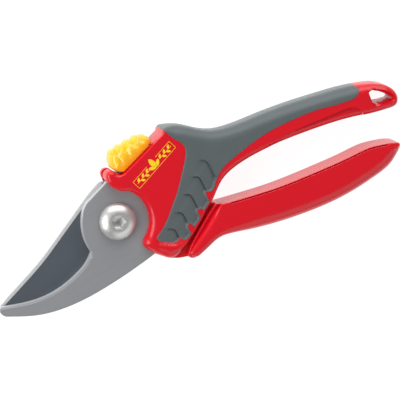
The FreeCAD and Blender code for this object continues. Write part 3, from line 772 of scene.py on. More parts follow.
# %% Face, groove and chevrons
STEP = [
    (76.0, -3.5),
    ("curve", (86.6, -3.3), (98.9, -4.1), (109.8, -5.6), (117.6, -6.5), (122.4, -7.6), (124.6, -9.6),
     (125.7, -12.4), (125.9, -15.0)),
]
groove = np.array(walk(STEP, 0.7))
CHEVRON_TURN = math.radians(36)
CHEVRONS = [42.9, 34.9, 25.8, 16.5, 8.1]
CHEVRON_AXIS = 25.2
SCALE_RISE = 1.15
print("groove", len(groove), "points, chevrons", len(CHEVRONS))


def upper_depth(points):
    """How far the face lies below its flat, from the rounded edges alone."""
    x, y = points[:, 0], points[:, 1]
    near, place = distance(points, core_ring)
    depth = quarter(near, at_place(upper_radius, place))
    hole_near, _ = distance(points, hole_ring)
    slope = 2.6 * np.clip(1 - hole_near / 0.9, 0, 1) * ease(x, 134.0, 138.0)
    mouth = (1 - ease(x, 14.0, 20.0)) * ease(y, -27.0, -19.0) * (1 - ease(y, 4.0, 14.0))
    lip = 0.8 * np.clip(1 - near / 6.0, 0, 1) ** 2 * mouth
    return depth + quarter(hole_near, 0.7) * (hole_near < 0.7) + slope + lip


def chevron_bend(aside):
    """How far a chevron falls back at a distance to the side of its tip."""
    return np.where(aside > 0, 0.62, 0.78) * (np.hypot(aside, 1.2) - 1.2)


def chevron_scales(points):
    """The stepped scales of the pad: each rises, then drops at the next chevron."""
    x, y = points[:, 0], points[:, 1]
    along = x * math.cos(CHEVRON_TURN) + y * math.sin(CHEVRON_TURN)
    across = -x * math.sin(CHEVRON_TURN) + y * math.cos(CHEVRON_TURN)
    aside = across + CHEVRON_AXIS
    level = along + chevron_bend(aside)
    height = np.zeros(len(points))
    for k, start in enumerate(CHEVRONS):
        end = CHEVRONS[k + 1] if k + 1 < len(CHEVRONS) else start - 9.0
        inside_scale = (level <= start) & (level > end)
        part = (start - level) / (start - end)
        shape = ease(part, 0.0, 0.10) * 0.25 + 0.75 * part
        height = np.where(inside_scale, shape, height)
    fade = ease(-across, 21.0, 24.5) * ease(along, -2.0, 4.0) * (1 - ease(level, 43.0, 43.1))
    fall = 0.1 * np.clip(-aside - 0.8, 0, 8)
    return ((height - 0.95) * SCALE_RISE - fall) * fade


def chevron_lines():
    """Lines of points along both sides of each step."""
    found = []
    across = np.arange(-36.0, -17.0, 0.4)
    bend = chevron_bend(across + CHEVRON_AXIS)
    for start in CHEVRONS:
        for shift in (0.1, -0.1):
            along = start - bend + shift
            x = along * math.cos(CHEVRON_TURN) - across * math.sin(CHEVRON_TURN)
            y = along * math.sin(CHEVRON_TURN) + across * math.cos(CHEVRON_TURN)
            found.append(np.stack([x, y], 1))
    return found


def bead_share(points):
    """1 round the lower end of the pad, 0 elsewhere."""
    x, y = points[:, 0], points[:, 1]
    return ease(-y, 13.0, 17.5) * (1 - ease(x, 21.5, 25.0))


def bead(points):
    """A raised rim round the lower end of the pad."""
    near, _ = distance(points, grip_edge, closed=False)
    under = np.clip(2.0 - near, 0, 2.0)
    flank = 0.38 - 0.68 * under * under / (under + 0.4)
    return bead_share(points) * np.where(near < 2.0, flank, 0.38 * (1 - ease(near, 2.0, 4.8)))


def red_relief(points):
    """Groove of the underside strip, and the seat of the grip."""
    near, place = distance(points, groove, closed=False)
    index = np.minimum(place.astype(int), len(groove) - 2)
    run = groove[index + 1] - groove[index]
    away = points - groove[index]
    below = (run[:, 0] * away[:, 1] - run[:, 1] * away[:, 0]) < 0
    start = ease(place, 0, 14)
    relief = -1.2 * start * np.where(below, np.clip(near / 0.3, 0, 1), 0.0)
    relief = relief * (near < 9.0) + bead(points)
    under_grip = inside(points, grip_ring)
    edge_near, _ = distance(points, grip_edge, closed=False)
    return relief - 2.5 * np.where(under_grip, ease(edge_near, 0.2, 0.8), 0.0)


def grip_relief(points, proud):
    """Proud of the red, with its edge turned in along the seam."""
    edge_near, _ = distance(points, grip_edge, closed=False)
    pad = chevron_scales(points) * ease(edge_near, 0.2, 1.2)
    low = 0.9 * bead_share(points) * (1 - ease(edge_near, 0.8, 4.5))
    return np.clip(proud - quarter(edge_near, 0.55) + pad - low, -1.9, proud + 0.08)


# %% [markdown]
# ## The room inside
# The shells are hollow where the hook, the tongue and the spring lie, and open along the lower
# edge so the lower handle can swing out. The rear half also has a slot below the track, which
# the blade comes up through. The inner height rule steps at the edges of these rooms.

# %% Rooms of the shells
ROOM = np.array([
    (-2.0, -40.0), (-2.0, 16.9), (8.4, 20.0), on_track(-0.6, -3.0), on_track(26.5, -3.0),
    (43.0, 19.0), (43.0, -12.0), (44.4, -14.5), (44.4, -40.0),
])
SLOT = np.array([(-2.0, 8.0), (-2.0, 40.0), on_track(19.0, 12.0), on_track(19.0, -5.0)])
room_sides = beside(walk(straight(ROOM), 0.6), 0.06)
slot_sides = beside(walk(straight(SLOT), 0.6), 0.06)
SEAM = 0.04
print("room", len(ROOM), "corners, slot", len(SLOT), "corners, seam", 2 * SEAM)


def front_inner(points):
    """Inner height of the front half."""
    return np.where(inside(points, ROOM), HOOK_HIGH, PARTING + SEAM)


def rear_inner(points):
    """Inner height of the rear half."""
    level = np.where(inside(points, SLOT), BLADE_LOW - 0.3, PARTING - SEAM)
    return np.where(inside(points, ROOM), REAR_WALL, level)


# %% [markdown]
# ## Red shells and grey grips
# Front and rear halves come from the same rules, the rear one mirrored in height. Each shell
# gets the lines of the grip's edge, the groove and the rooms as extra points, so that every
# step lands on the mesh and not between its points. Both rear pieces have a round well for
# each screw head, and inside the room the rear wall keeps its thickness at the rounded edge,
# so the blade's rivets clear it.

# %% Make the shells and grips
MOULDING_REAR = FACE_REAR + 0.45
WALL_ROUNDING = REAR_WALL - FACE_REAR - 0.85
SCREWS = ["shell_screw_%d" % k for k in range(1, 5)]
shell_lines = [*beside(grip_edge, 0.3), groove, *beside(groove, 0.3), *room_sides]
WELL = 2.95
screw_spots = [tuple(v / MM for v in centre(node)) for node in SCREWS]
well_floor = heights(SCREWS[0])[0] + 1.3
round_turn = np.linspace(0, 2 * math.pi, 41)
rim = np.stack([np.cos(round_turn), np.sin(round_turn)], 1)
well_lines = [rim * r + spot for spot in screw_spots for r in (WELL - 0.05, WELL + 0.05)]
print("screw wells at", screw_spots, "down to", well_floor)


def with_wells(points, level):
    """The rear face with a round well for each screw head."""
    near = np.min([np.hypot(*(points - spot).T) for spot in screw_spots], axis=0)
    return np.where(near < WELL, np.maximum(level, well_floor), level)


def make_shell(name, node, front_side):
    """One red half with its hanging hole."""
    def face(points):
        depth = upper_depth(points) - red_relief(points)
        if front_side:
            return FACE_FRONT - depth
        wall = np.minimum(depth, WALL_ROUNDING)
        level = MOULDING_REAR + np.where(inside(points, ROOM), wall, depth)
        return with_wells(points, level)

    lines = shell_lines if front_side else [*shell_lines, *slot_sides, *well_lines]
    front = face if front_side else rear_inner
    back = front_inner if front_side else face
    piece = slab(name, core_ring, front, back, 1.0, upper_radius, 5, [hole_ring], lines)
    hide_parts(node)
    return dress(piece, red_plastic, "upper_handle")


def make_grip(name, node, front_side):
    """One grey half over the core."""
    def face(points):
        near, place = distance(points, upper_ring)
        depth = quarter(near, at_place(upper_radius, place)) - grip_relief(points, 0.3)
        if front_side:
            return FACE_FRONT - depth
        return with_wells(points, MOULDING_REAR + depth)

    def seat(points):
        on_back = distance(points, back_line, closed=False)[0] < 4.0
        parting = PARTING + SEAM if front_side else PARTING - SEAM
        under = FACE_FRONT - 3.1 if front_side else FACE_REAR + 3.1
        return np.where(on_back, parting, under)

    radius = upper_round(grip_ring)
    near_edge = distance(grip_ring, grip_edge, closed=False)[0] < 0.2
    radius = np.where(near_edge, 0.55, radius)
    front = face if front_side else seat
    back = seat if front_side else face
    lines = chevron_lines() if front_side else [*chevron_lines(), *well_lines]
    piece = slab(name, grip_ring, front, back, 0.62, radius, 5, (), lines)
    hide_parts(node)
    return dress(piece, soft_grip, "upper_handle")


make_shell("front_shell", "upper_front_shell", True)
make_shell("rear_shell", "upper_rear_shell", False)
make_grip("front_grip", "soft_grip_front", True)
make_grip("rear_grip", "soft_grip_rear", False)

# %% [markdown]
# ## The hook
# The hook is a thick plate with a bevel along its hollow edge, which keeps the branch in
# place. It could be cut from a plate with a bevel modifier, but the bevel has to fade out
# towards the boss. So it is a slab again, with the bevel written as a height rule.

# %% Make the hook
HOOK_OUTER = [(-65.4, -14.0), (-60.0, -17.0), (-52.7, -20.4), (-44.6, -22.8), (-36.1, -24.2),
              (-27.0, -24.8), (-17.6, -24.7), (-8.1, -24.2), (1.7, -23.3)]
HOOK_HOLLOW = [(-17.3, -6.9), (-22.0, -10.3), (-28.8, -12.8), (-35.7, -14.2), (-43.3, -14.6),
               (-50.9, -13.6), (-58.0, -11.6), (-66.8, -8.3)]
HOOK_OUTLINE = [
    HOOK_OUTER[0],
    ("curve", *HOOK_OUTER[1:]),
    ("line", (12.2, -22.0)),
    ("line", (21.8, -15.5)),
    ("line", (25.8, -7.0)),
    ("line", (30.0, 4.0)),
    ("line", (31.0, 9.5)),
    ("line", (40.5, 15.5)),
    ("line", on_track(26.0, -5.8)),
    ("line", on_track(0.2, -5.8)),
    ("line", (8.2, 19.8)),
    ("line", (-6.0, 15.3)),
    ("arc", (-10.4, 13.3), (-13.0, 10.4)),
    ("arc", (-16.9, 2.2), HOOK_HOLLOW[0]),
    ("curve", *HOOK_HOLLOW[1:]),
    ("curve", (-68.0, -8.9), (-68.24, -10.6), (-67.4, -12.6), HOOK_OUTER[0]),
]
hook_ring = closed_ring(HOOK_OUTLINE, 0.6)
hook_hollow = np.array(walk([HOOK_HOLLOW[0], ("curve", *HOOK_HOLLOW[1:])], 0.6))


def hook_front(points):
    """The hook's face, with the bevel of its hollow edge."""
    near, _ = distance(points, hook_ring)
    bevel_near, place = distance(points, hook_hollow, closed=False)
    ends = ease(place, 0, 8)
    bevel = 1.5 * ends * np.clip(1 - bevel_near / 1.0, 0, 1)
    return HOOK_HIGH - quarter(near, 0.3) - bevel


def hook_back(points):
    """The hook's flat rear face."""
    near, _ = distance(points, hook_ring)
    return HOOK_LOW + quarter(near, 0.12)


hook = slab(
    "hook", hook_ring, hook_front, hook_back, 1.2, 0.3, 3, (), beside(hook_hollow, 1.0)
)
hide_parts("hook_blade")
dress(hook, hook_steel, "upper_handle")

# %% [markdown]
# ## The blade
# The blade is thinner than the hook and ground from behind, so its flat front face slides
# along it. Lines of points laid along the foot of each bevel keep its crease even.

# %% Make the blade
BLADE_EDGE = [(-67.0, -9.0), (-58.0, -14.2), (-46.0, -17.6), (-34.0, -17.8), (-24.0, -15.6),
              (-15.0, -11.2)]
SPINE = [(2.2, 19.0), (-3.6, 17.0), (-10.6, 13.9), (-19.0, 9.9), (-28.2, 5.6), (-38.5, 0.9),
         (-50.6, -3.5), (-66.6, -8.7)]
BLADE_OUTLINE = [
    BLADE_EDGE[0],
    ("curve", *BLADE_EDGE[1:]),
    ("arc", (-7.8, -14.4), (1.6, -16.2)),
    ("line", (18.0, -24.6)),
    ("arc", (31.6, -24.4), (32.6, -16.4)),
    ("line", (17.6, -4.0)),
    ("arc", (16.6, 5.0), (11.8, 12.6)),
    ("arc", (8.0, 16.4), SPINE[0]),
    ("curve", *SPINE[1:]),
    ("line", BLADE_EDGE[0]),
]
blade_ring = closed_ring(BLADE_OUTLINE, 0.7)
blade_edge = np.array(walk([BLADE_EDGE[0], ("curve", *BLADE_EDGE[1:])], 0.7))
blade_spine = np.array(walk([SPINE[0], ("curve", *SPINE[1:])], 0.7))


def blade_front(points):
    """The blade's flat face, with a narrow slope along the spine."""
    near, _ = distance(points, blade_ring)
    spine_near, _ = distance(points, blade_spine, closed=False)
    return BLADE_HIGH - quarter(near, 0.2) - 0.8 * np.clip(1.0 - spine_near, 0, 1)


def blade_back(points):
    """The blade's rear face, ground up to the cutting edge."""
    near, _ = distance(points, blade_ring)
    edge_near, _ = distance(points, blade_edge, closed=False)
    ground = (BLADE_HIGH - BLADE_LOW - 0.35) * np.clip(1 - edge_near / 5.2, 0, 1)
    level = BLADE_LOW + quarter(near, 0.2) * (edge_near > 0.6) + ground
    return np.minimum(level, blade_front(points) - 0.25)


blade_lines = [*beside(blade_edge, 5.2), *beside(blade_spine, 1.0), *beside(blade_spine, 1.1)]
blade = slab("blade", blade_ring, blade_front, blade_back, 1.4, 0.2, 2, (), blade_lines)
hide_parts("cutting_blade")
dress(blade, blade_steel, "lower_handle")

# %% [markdown]
# ## The lower handle
# It is one moulding with a heel at the body, a lower step beside it, and a head and a thin
# tongue that reach into the body. Its underside is round for the fingers, and its inner side
# is flat with nearly sharp edges, closed by a strip.

# %% Make the lower handle
INNER_FACE = [(60.0, -20.3), (72.3, -23.0), (85.1, -25.0), (98.0, -26.6), (111.4, -27.9),
              (120.6, -28.7), (126.4, -30.3)]
LOWER_OUTLINE = [
    (46.4, -16.9),
    ("curve", *INNER_FACE, (130.8, -31.9), (133.6, -33.3)),
    ("arc", (134.9, -35.2), (133.7, -37.3)),
    ("curve", (127.4, -41.0), (117.0, -43.0), (104.3, -43.7), (90.8, -43.0), (77.9, -41.1),
     (65.5, -38.5), (53.5, -35.0), (44.6, -31.8), (38.3, -30.6), (32.4, -31.8), (27.0, -33.1)),
    ("arc", (23.2, -32.2), (22.1, -29.3)),
    ("curve", (26.4, -27.0), (31.0, -24.8), (36.0, -22.2), (41.4, -19.1), (46.4, -16.9)),
]
SHELF_OUTLINE = [
    (21.3, -30.4),
    ("curve", (24.2, -27.4), (29.0, -24.1), (34.2, -20.8), (39.1, -17.9), (44.2, -15.2)),
    ("line", (49.0, -18.6)),
    ("line", (40.0, -28.0)),
    ("line", (26.0, -33.2)),
    ("arc", (22.4, -32.4), (21.3, -30.4)),
]
HEAD_OUTLINE = [
    (29.4, -9.5),
    ("line", (41.0, -9.5)),
    ("line", (42.2, -13.0)),
    ("line", (46.2, -18.4)),
    ("line", (34.0, -29.0)),
    ("line", (22.4, -31.8)),
    ("line", (17.4, -30.0)),
    ("line", (13.4, -27.6)),
    ("arc", (25.0, -18.0), (29.4, -9.5)),
]
TONGUE_OUTLINE = [
    (1.6, -18.0),
    ("line", (19.0, -27.6)),
    ("line", (30.0, -26.0)),
    ("line", (34.0, -9.7)),
    ("line", (27.0, -8.0)),
    ("line", (17.2, -1.0)),
    ("arc", (7.7, -8.6), (-2.6, -15.6)),
    ("line", (1.6, -18.0)),
]
lower_ring = closed_ring(LOWER_OUTLINE, 0.7)
inner_line = np.array(walk([(49.0, -17.6), ("curve", *INNER_FACE, (130.8, -31.9))], 0.7))
lower_core = drawn_in(lower_ring, part_of_ring(lower_ring, inner_line[-1], inner_line[0]), 0.8)


def lower_round(points):
    """Radius of the rounded edge: full underneath, small on the inner side and at the heel."""
    x, y = points[:, 0], points[:, 1]
    middle = np.interp(x, [20, 48, 60, 98, 119, 132], [-29, -24, -28, -34.5, -35.5, -35])
    under = ease(middle - y, -2.5, 2.5)
    full = 2.6 + 3.2 * ease(x, 36.0, 62.0)
    return under * full + (1 - under) * (0.35 + 2.5 * (1 - ease(x, 40.0, 47.0)))


lower_radius = lower_round(lower_ring)


def both_faces(ring, radius, low, high):
    """Front and back rules of a slab with the same rounding on both faces."""
    radius = np.full(len(ring), float(radius)) if np.isscalar(radius) else radius

    def depth(points):
        near, place = distance(points, ring)
        return quarter(near, at_place(radius, place))

    return (lambda points: high - depth(points)), (lambda points: low + depth(points))


def plain_slab(name, ring, low, high, radius, spacing, rows=3):
    """A flat slab with rounded edges between two heights."""
    front, back = both_faces(ring, radius, low, high)
    return slab(name, ring, front, back, spacing, radius, rows)


long_part = plain_slab("lower_long", lower_core, FACE_REAR, FACE_FRONT, lower_radius, 1.1, 6)
shelf_ring = closed_ring(SHELF_OUTLINE, 0.7)
lip_line = np.array(walk(SHELF_OUTLINE[:2], 0.7))


def shelf_drop(points):
    """A thin lip beside the body, falling away towards the heel."""
    near, _ = distance(points, shelf_ring)
    lip_near, _ = distance(points, lip_line, closed=False)
    return quarter(near, 0.5) + 0.8 * np.clip(lip_near - 0.7, 0, 2.2)


shelf = slab(
    "shelf", shelf_ring, lambda p: FACE_FRONT - 1.0 - shelf_drop(p),
    lambda p: FACE_REAR + 1.0 + shelf_drop(p), 0.9, 0.5, 4, (), beside(lip_line, 0.7),
)
head_ring = closed_ring(HEAD_OUTLINE, 0.7)
head = plain_slab("head", head_ring, HEAD_LOW, HEAD_HIGH, 0.4, 1.6)
tongue_ring = closed_ring(TONGUE_OUTLINE, 0.8)
tongue = plain_slab("tongue", tongue_ring, HEAD_LOW, BLADE_LOW, 0.3, 1.8)
lower = join("lower_moulding", [long_part, shelf, head, tongue])
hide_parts("lower_handle")
dress(lower, red_plastic, "lower_handle")

# %% [markdown]
# ## The inner strip
# The strip is a flat band that follows the inner side. It is swept: a small rounded rectangle
# is carried along the line, standing square to it.

# %% Sweep the strip


def sweep_band(name, line, low, high, below, above, corner):
    """A band along a line in the plane, between two heights."""
    section = [
        (above - corner, low), (above, low + corner), (above, high - corner),
        (above - corner, high), (-below, high), (-below, low),
    ]
    corners = []
    for point, side in zip(line, left_of(np.gradient(line, axis=0))):
        for out, z in section:
            corners.append((point[0] + side[0] * out, point[1] + side[1] * out, z))
    return tube(name, corners, len(section))


strip = sweep_band("inner_strip", inner_line, FACE_REAR + 0.3, FACE_FRONT - 0.25, 0.42, 0.05, 0.25)
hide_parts("lower_inner_strip")
dress(strip, red_plastic, "lower_handle")

# %% [markdown]
# ## The lock button
# A thumb pushes it, so its top is a row of round lobes with grooves between them. The grooves
# run down the faces and fade out above the track.

# %% Make the lock button
VALLEYS = [14.8, 19.4, 24.0, 28.4]
LOCK_OUTLINE = [
    on_track(-0.1, 0.9),
    ("curve", (10.3, 21.6), (9.5, 24.2), (10.4, 27.2), (12.0, 29.4)),
    ("arc", (13.5, 30.3), (VALLEYS[0], 29.7)),
    ("arc", (17.0, 30.6), (VALLEYS[1], 29.9)),
    ("arc", (21.7, 30.65), (VALLEYS[2], 29.9)),
    ("arc", (26.3, 30.65), (VALLEYS[3], 29.4)),
    ("curve", (30.4, 28.9), (31.5, 27.2), (31.4, 25.4), on_track(17.8, 0.9)),
    ("line", on_track(17.2, 0.3)),
    ("line", on_track(0.4, 0.3)),
    ("line", on_track(-0.1, 0.9)),
]
lock_ring = closed_ring(LOCK_OUTLINE, 0.35)
lock_low, lock_high = heights("lock_button")


def above_track(points):
    """How far each point lies out from the lock's track."""
    x, y = points[:, 0] - TRACK_FROM[0], points[:, 1] - TRACK_FROM[1]
    return -x * math.sin(TRACK_TURN) + y * math.cos(TRACK_TURN)


lock_radius = 0.7 + 4.2 * ease(above_track(lock_ring), 2.0, 7.0)


def lock_depth(points):
    """How far the button's face lies below its flat."""
    near, place = distance(points, lock_ring)
    depth = quarter(near, at_place(lock_radius, place))
    groove_depth = np.zeros(len(points))
    for x in VALLEYS:
        gap = np.abs(points[:, 0] - x)
        groove_depth = np.maximum(groove_depth, (1 - np.clip(gap / 1.9, 0, 1)) ** 1.5)
    fade = ease(above_track(points), 2.0, 5.5)
    return depth + 1.1 * groove_depth * fade


lock = slab(
    "lock_thumb", lock_ring, lambda p: lock_high - lock_depth(p), lambda p: lock_low + lock_depth(p),
    0.45, lock_radius, 6,
)
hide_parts("lock_button")
dress(lock, yellow_plastic, "lock_slider")

# %% [markdown]
# ## A leaf label on the panel
# A thin yellow inlay marks the panel: a narrow frame, a sprig on each side and a sprout with
# three leaves in the middle. Each leaf is the shape between two arcs, each line a thin bar.

# %% Make the sprig


def leaf(stem, turn, long, wide):
    """A leaf's outline from its stem, between two arcs."""
    along = (math.cos(turn), math.sin(turn))

    def at(forward, aside):
        return (
            stem[0] + along[0] * forward - along[1] * aside,
            stem[1] + along[1] * forward + along[0] * aside,
        )

    return [
        at(0, 0),
        ("arc", at(0.45 * long, 0.5 * wide), at(long, 0)),
        ("arc", at(0.45 * long, -0.5 * wide), at(0, 0)),
    ]


sprig_low, sprig_high = heights("leaf_badge")
LABEL_TURN = math.radians(19.6)
LABEL_MIDDLE = (27.3, 15.5)


def on_label(along, aside):
    """A point on the label, from its middle along it and across it."""
    return (
        LABEL_MIDDLE[0] + along * math.cos(LABEL_TURN) - aside * math.sin(LABEL_TURN),
        LABEL_MIDDLE[1] + along * math.sin(LABEL_TURN) + aside * math.cos(LABEL_TURN),
    )


def bar(start, end, half):
    """A thin bar between two label points, as an outline."""
    run = (end[0] - start[0], end[1] - start[1])
    long = math.hypot(*run)
    side = (-run[1] / long * half, run[0] / long * half)
    return straight([
        on_label(start[0] + side[0], start[1] + side[1]),
        on_label(end[0] + side[0], end[1] + side[1]),
        on_label(end[0] - side[0], end[1] - side[1]),
        on_label(start[0] - side[0], start[1] - side[1]),
    ])


HALF_LONG, HALF_WIDE, THIN = 12.7, 2.15, 0.09
shapes = [
    bar((-HALF_LONG, HALF_WIDE), (-2.9, HALF_WIDE), THIN),
    bar((2.9, HALF_WIDE), (HALF_LONG, HALF_WIDE), THIN),
    bar((-HALF_LONG, -HALF_WIDE), (HALF_LONG, -HALF_WIDE), THIN),
    bar((-HALF_LONG, -HALF_WIDE - THIN), (-HALF_LONG, HALF_WIDE + THIN), THIN),
    bar((HALF_LONG, -HALF_WIDE - THIN), (HALF_LONG, HALF_WIDE + THIN), THIN),
    bar((-11.6, 0.0), (-3.2, 0.0), 0.12),
    bar((3.6, 0.0), (11.6, 0.0), 0.12),
    leaf(on_label(0.0, -1.5), LABEL_TURN + math.pi / 2, 5.4, 2.5),
    leaf(on_label(-0.2, -1.5), LABEL_TURN + math.radians(145), 3.9, 1.7),
    leaf(on_label(0.2, -1.5), LABEL_TURN + math.radians(35), 3.9, 1.7),
]
for k in range(5):
    for start in (-11.0, 3.9):
        side = 1 if k % 2 == 0 else -1
        turn = LABEL_TURN + side * math.radians(42)
        shapes.append(leaf(on_label(start + 1.45 * k, side * 0.05), turn, 2.3, 1.1))
leaves = []
for k, shape in enumerate(shapes):
    leaves.append(plain_slab(
        "leaf_%d" % k, closed_ring(shape, 0.4), sprig_low, sprig_high - 0.01, 0.05, 0.6, 1
    ))
sprig = join("leaf_sprig", leaves)
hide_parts("leaf_badge")
dress(sprig, yellow_print, "upper_handle")

# %% [markdown]
# ## Trees for repeated parts and for coils
# Screws and rivets are the same small part set down several times, and the spring is one wire
# led round a helix. Geometry Nodes does both: the first tree puts a part on every point of a
# point set, the second sweeps a circle along a spiral. Each result is turned into a plain mesh.

# %% Build the two trees


def new_tree(name, inputs):
    """An empty tree with its inputs, plus the identifiers of those inputs."""
    tree = bpy.data.node_groups.new(name, "GeometryNodeTree")
    tree.interface.new_socket("Geometry", in_out="INPUT", socket_type="NodeSocketGeometry")
    tree.interface.new_socket("Geometry", in_out="OUTPUT", socket_type="NodeSocketGeometry")
    found = {}
    for label, kind in inputs:
        socket = tree.interface.new_socket(label, in_out="INPUT", socket_type=kind)
        found[label] = socket.identifier
    return tree, found, tree.nodes.new("NodeGroupInput"), tree.nodes.new("NodeGroupOutput")


def end_tree(tree, start, made, end):
    """Turns what was made into plain faces, paints them and hands them over."""
    real = tree.nodes.new("GeometryNodeRealizeInstances")
    paint = tree.nodes.new("GeometryNodeSetMaterial")
    tree.links.new(made, real.inputs["Geometry"])
    tree.links.new(real.outputs["Geometry"], paint.inputs["Geometry"])
    tree.links.new(start.outputs["Finish"], paint.inputs["Material"])
    tree.links.new(paint.outputs["Geometry"], end.inputs["Geometry"])


def repeat_tree():
    """Sets a part down on every point."""
    tree, found, start, end = new_tree("repeat_part", [
        ("Part", "NodeSocketObject"), ("Finish", "NodeSocketMaterial"),
    ])
    part = tree.nodes.new("GeometryNodeObjectInfo")
    put = tree.nodes.new("GeometryNodeInstanceOnPoints")
    tree.links.new(start.outputs["Part"], part.inputs["Object"])
    tree.links.new(start.outputs["Geometry"], put.inputs["Points"])
    tree.links.new(part.outputs["Geometry"], put.inputs["Instance"])
    end_tree(tree, start, put.outputs["Instances"], end)
    return tree, found


def coil_tree():
    """Sweeps a round wire along a spiral."""
    tree, found, start, end = new_tree("coil", [
        ("Turns", "NodeSocketFloat"), ("Radius", "NodeSocketFloat"), ("Length", "NodeSocketFloat"),
        ("Wire", "NodeSocketFloat"), ("Finish", "NodeSocketMaterial"),
    ])
    spiral = tree.nodes.new("GeometryNodeCurveSpiral")
    spiral.inputs["Resolution"].default_value = 48
    round_wire = tree.nodes.new("GeometryNodeCurvePrimitiveCircle")
    round_wire.inputs["Resolution"].default_value = 14
    sweep = tree.nodes.new("GeometryNodeCurveToMesh")
    sweep.inputs["Fill Caps"].default_value = True
    tree.links.new(start.outputs["Turns"], spiral.inputs["Rotations"])
    tree.links.new(start.outputs["Radius"], spiral.inputs["Start Radius"])
    tree.links.new(start.outputs["Radius"], spiral.inputs["End Radius"])
    tree.links.new(start.outputs["Length"], spiral.inputs["Height"])
    tree.links.new(start.outputs["Wire"], round_wire.inputs["Radius"])
    tree.links.new(spiral.outputs["Curve"], sweep.inputs["Curve"])
    tree.links.new(round_wire.outputs["Curve"], sweep.inputs["Profile Curve"])
    end_tree(tree, start, sweep.outputs["Mesh"], end)
    return tree, found


def grow(name, points, made, settings):
    """Runs a tree on a point set and keeps the result as a plain mesh."""
    tree, found = made
    mesh = bpy.data.meshes.new(name)
    mesh.from_pydata(points, [], [])
    piece = bpy.data.objects.new(name, mesh)
    bpy.context.scene.collection.objects.link(piece)
    modifier = piece.modifiers.new("grow", "NODES")
    modifier.node_group = tree
    for label, value in settings.items():
        modifier[found[label]] = value
    bpy.context.view_layer.update()
    graph = bpy.context.evaluated_depsgraph_get()
    result = bpy.data.meshes.new_from_object(piece.evaluated_get(graph))
    piece.modifiers.clear()
    piece.data = result
    result.name = name
    result.shade_smooth()
    result.set_sharp_from_angle(angle=math.radians(35))
    print(name, len(result.vertices), "points")
    return piece


repeat = repeat_tree()
coil = coil_tree()

# %% [markdown]
# ## Screws of the shells
# A screw is a turned part: rings of points round one axis, each with its own radius and
# height. A ring can also be drawn towards a hexagon, which gives the screw its socket. One
# screw is made, and the first tree sets it down in each well.

# %% Turn a screw and set it down
SMALL_SIDES = 24


def turned(name, rings, sides):
    """A turned part from (radius, height, hexagon share) rings, from one end to the other."""
    corners = []
    for radius, z, share in rings:
        for k in range(sides):
            turn = math.tau * k / sides
            local = (turn + math.pi / 6) % (math.pi / 3) - math.pi / 6
            r = radius * (1 - share) + share * radius / 2 / math.cos(local)
            corners.append((r * math.cos(turn), r * math.sin(turn), z))
    return tube(name, corners, sides, 30)


def set_down(name, nodes, rings, material, body):
    """One piece that replaces several like nodes."""
    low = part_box(nodes[0])[0][2]
    part = turned(name + "_one", rings, SMALL_SIDES)
    piece = grow(
        name, [(*centre(node), low) for node in nodes], repeat, {"Part": part, "Finish": material}
    )
    bpy.data.objects.remove(part)
    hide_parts(*nodes)
    return dress(piece, material, body)


screw_long = node_height(SCREWS[0])
screw_wide = half_width(SCREWS[0])
screw_rings = [
    (0.2, 1.1, 0.0), (0.9, 1.0, 0.0), (2.4, 1.0, 1.0), (2.4, 0.12, 1.0), (2.7, 0.0, 1.0),
    (screw_wide - 0.5, 0.0, 0.0), (screw_wide, 0.3, 0.0), (screw_wide, 1.5, 0.0),
    (screw_wide - 0.2, 1.7, 0.0), (1.4, 1.7, 0.0), (1.4, screw_long - 0.6, 0.0),
    (0.5, screw_long, 0.0),
]
set_down("shell_screws", SCREWS, screw_rings, zinc_steel, "upper_handle")

# %% [markdown]
# ## Rivets of hook and blade
# Two rivets hold the hook in the front shell, and two hold the blade on the lower handle. A
# rivet is turned as well, with a softly rounded rim at both ends.

# %% Turn the rivets and set them down


def rivet_rings(node):
    """Rings of a rivet as tall and as wide as its node."""
    long = node_height(node)
    wide = half_width(node)
    return [
        (0.3, 0.0, 0.0), (wide - 0.35, 0.0, 0.0), (wide - 0.08, 0.15, 0.0), (wide, 0.4, 0.0),
        (wide, long - 0.4, 0.0), (wide - 0.08, long - 0.15, 0.0), (wide - 0.35, long, 0.0),
        (0.3, long, 0.0),
    ]


for kind, body in (("hook", "upper_handle"), ("blade", "lower_handle")):
    nodes = [kind + "_rivet_1", kind + "_rivet_2"]
    set_down(kind + "_rivets", nodes, rivet_rings(nodes[0]), bright_steel, body)

# %% [markdown]
# ## The return spring
# The spring stands between the two handles and pushes them apart, so one end sits on each. It
# is wound along Z and laid along Y.

# %% Wind the spring
spring_low, spring_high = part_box("return_spring")
spring_wide = (spring_high[0] - spring_low[0]) / 2
wire = 0.0006
spring_long = spring_high[1] - spring_low[1] - 2 * wire
spring = grow("coil_spring", [(0, 0, 0)], coil, {
    "Turns": 6.0, "Radius": spring_wide - wire, "Length": spring_long, "Wire": wire,
    "Finish": spring_steel,
})
spring_x = (spring_low[0] + spring_high[0]) / 2
spring_z = (spring_low[2] + spring_high[2]) / 2
for vertex in spring.data.vertices:
    x, y, z = vertex.co
    vertex.co = (spring_x + x, spring_low[1] + wire + z, spring_z - y)
coat_with(spring, spring_steel)
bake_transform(spring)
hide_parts("return_spring")

# %% [markdown]
# ## The pivot bolt
# A button head is a turned shape with a hexagon socket pressed into it. The rings below go
# round the axis from the outside in. Each has its own radius and height, and the innermost
# ones change from a circle to the hexagon.

# %% Turn the bolt
HEX_ACROSS = 6.0
head_radius = half_width("pivot_bolt")
shank_radius = 5.0
crown_radius = 4.3
DOME_TURN = math.radians(62)

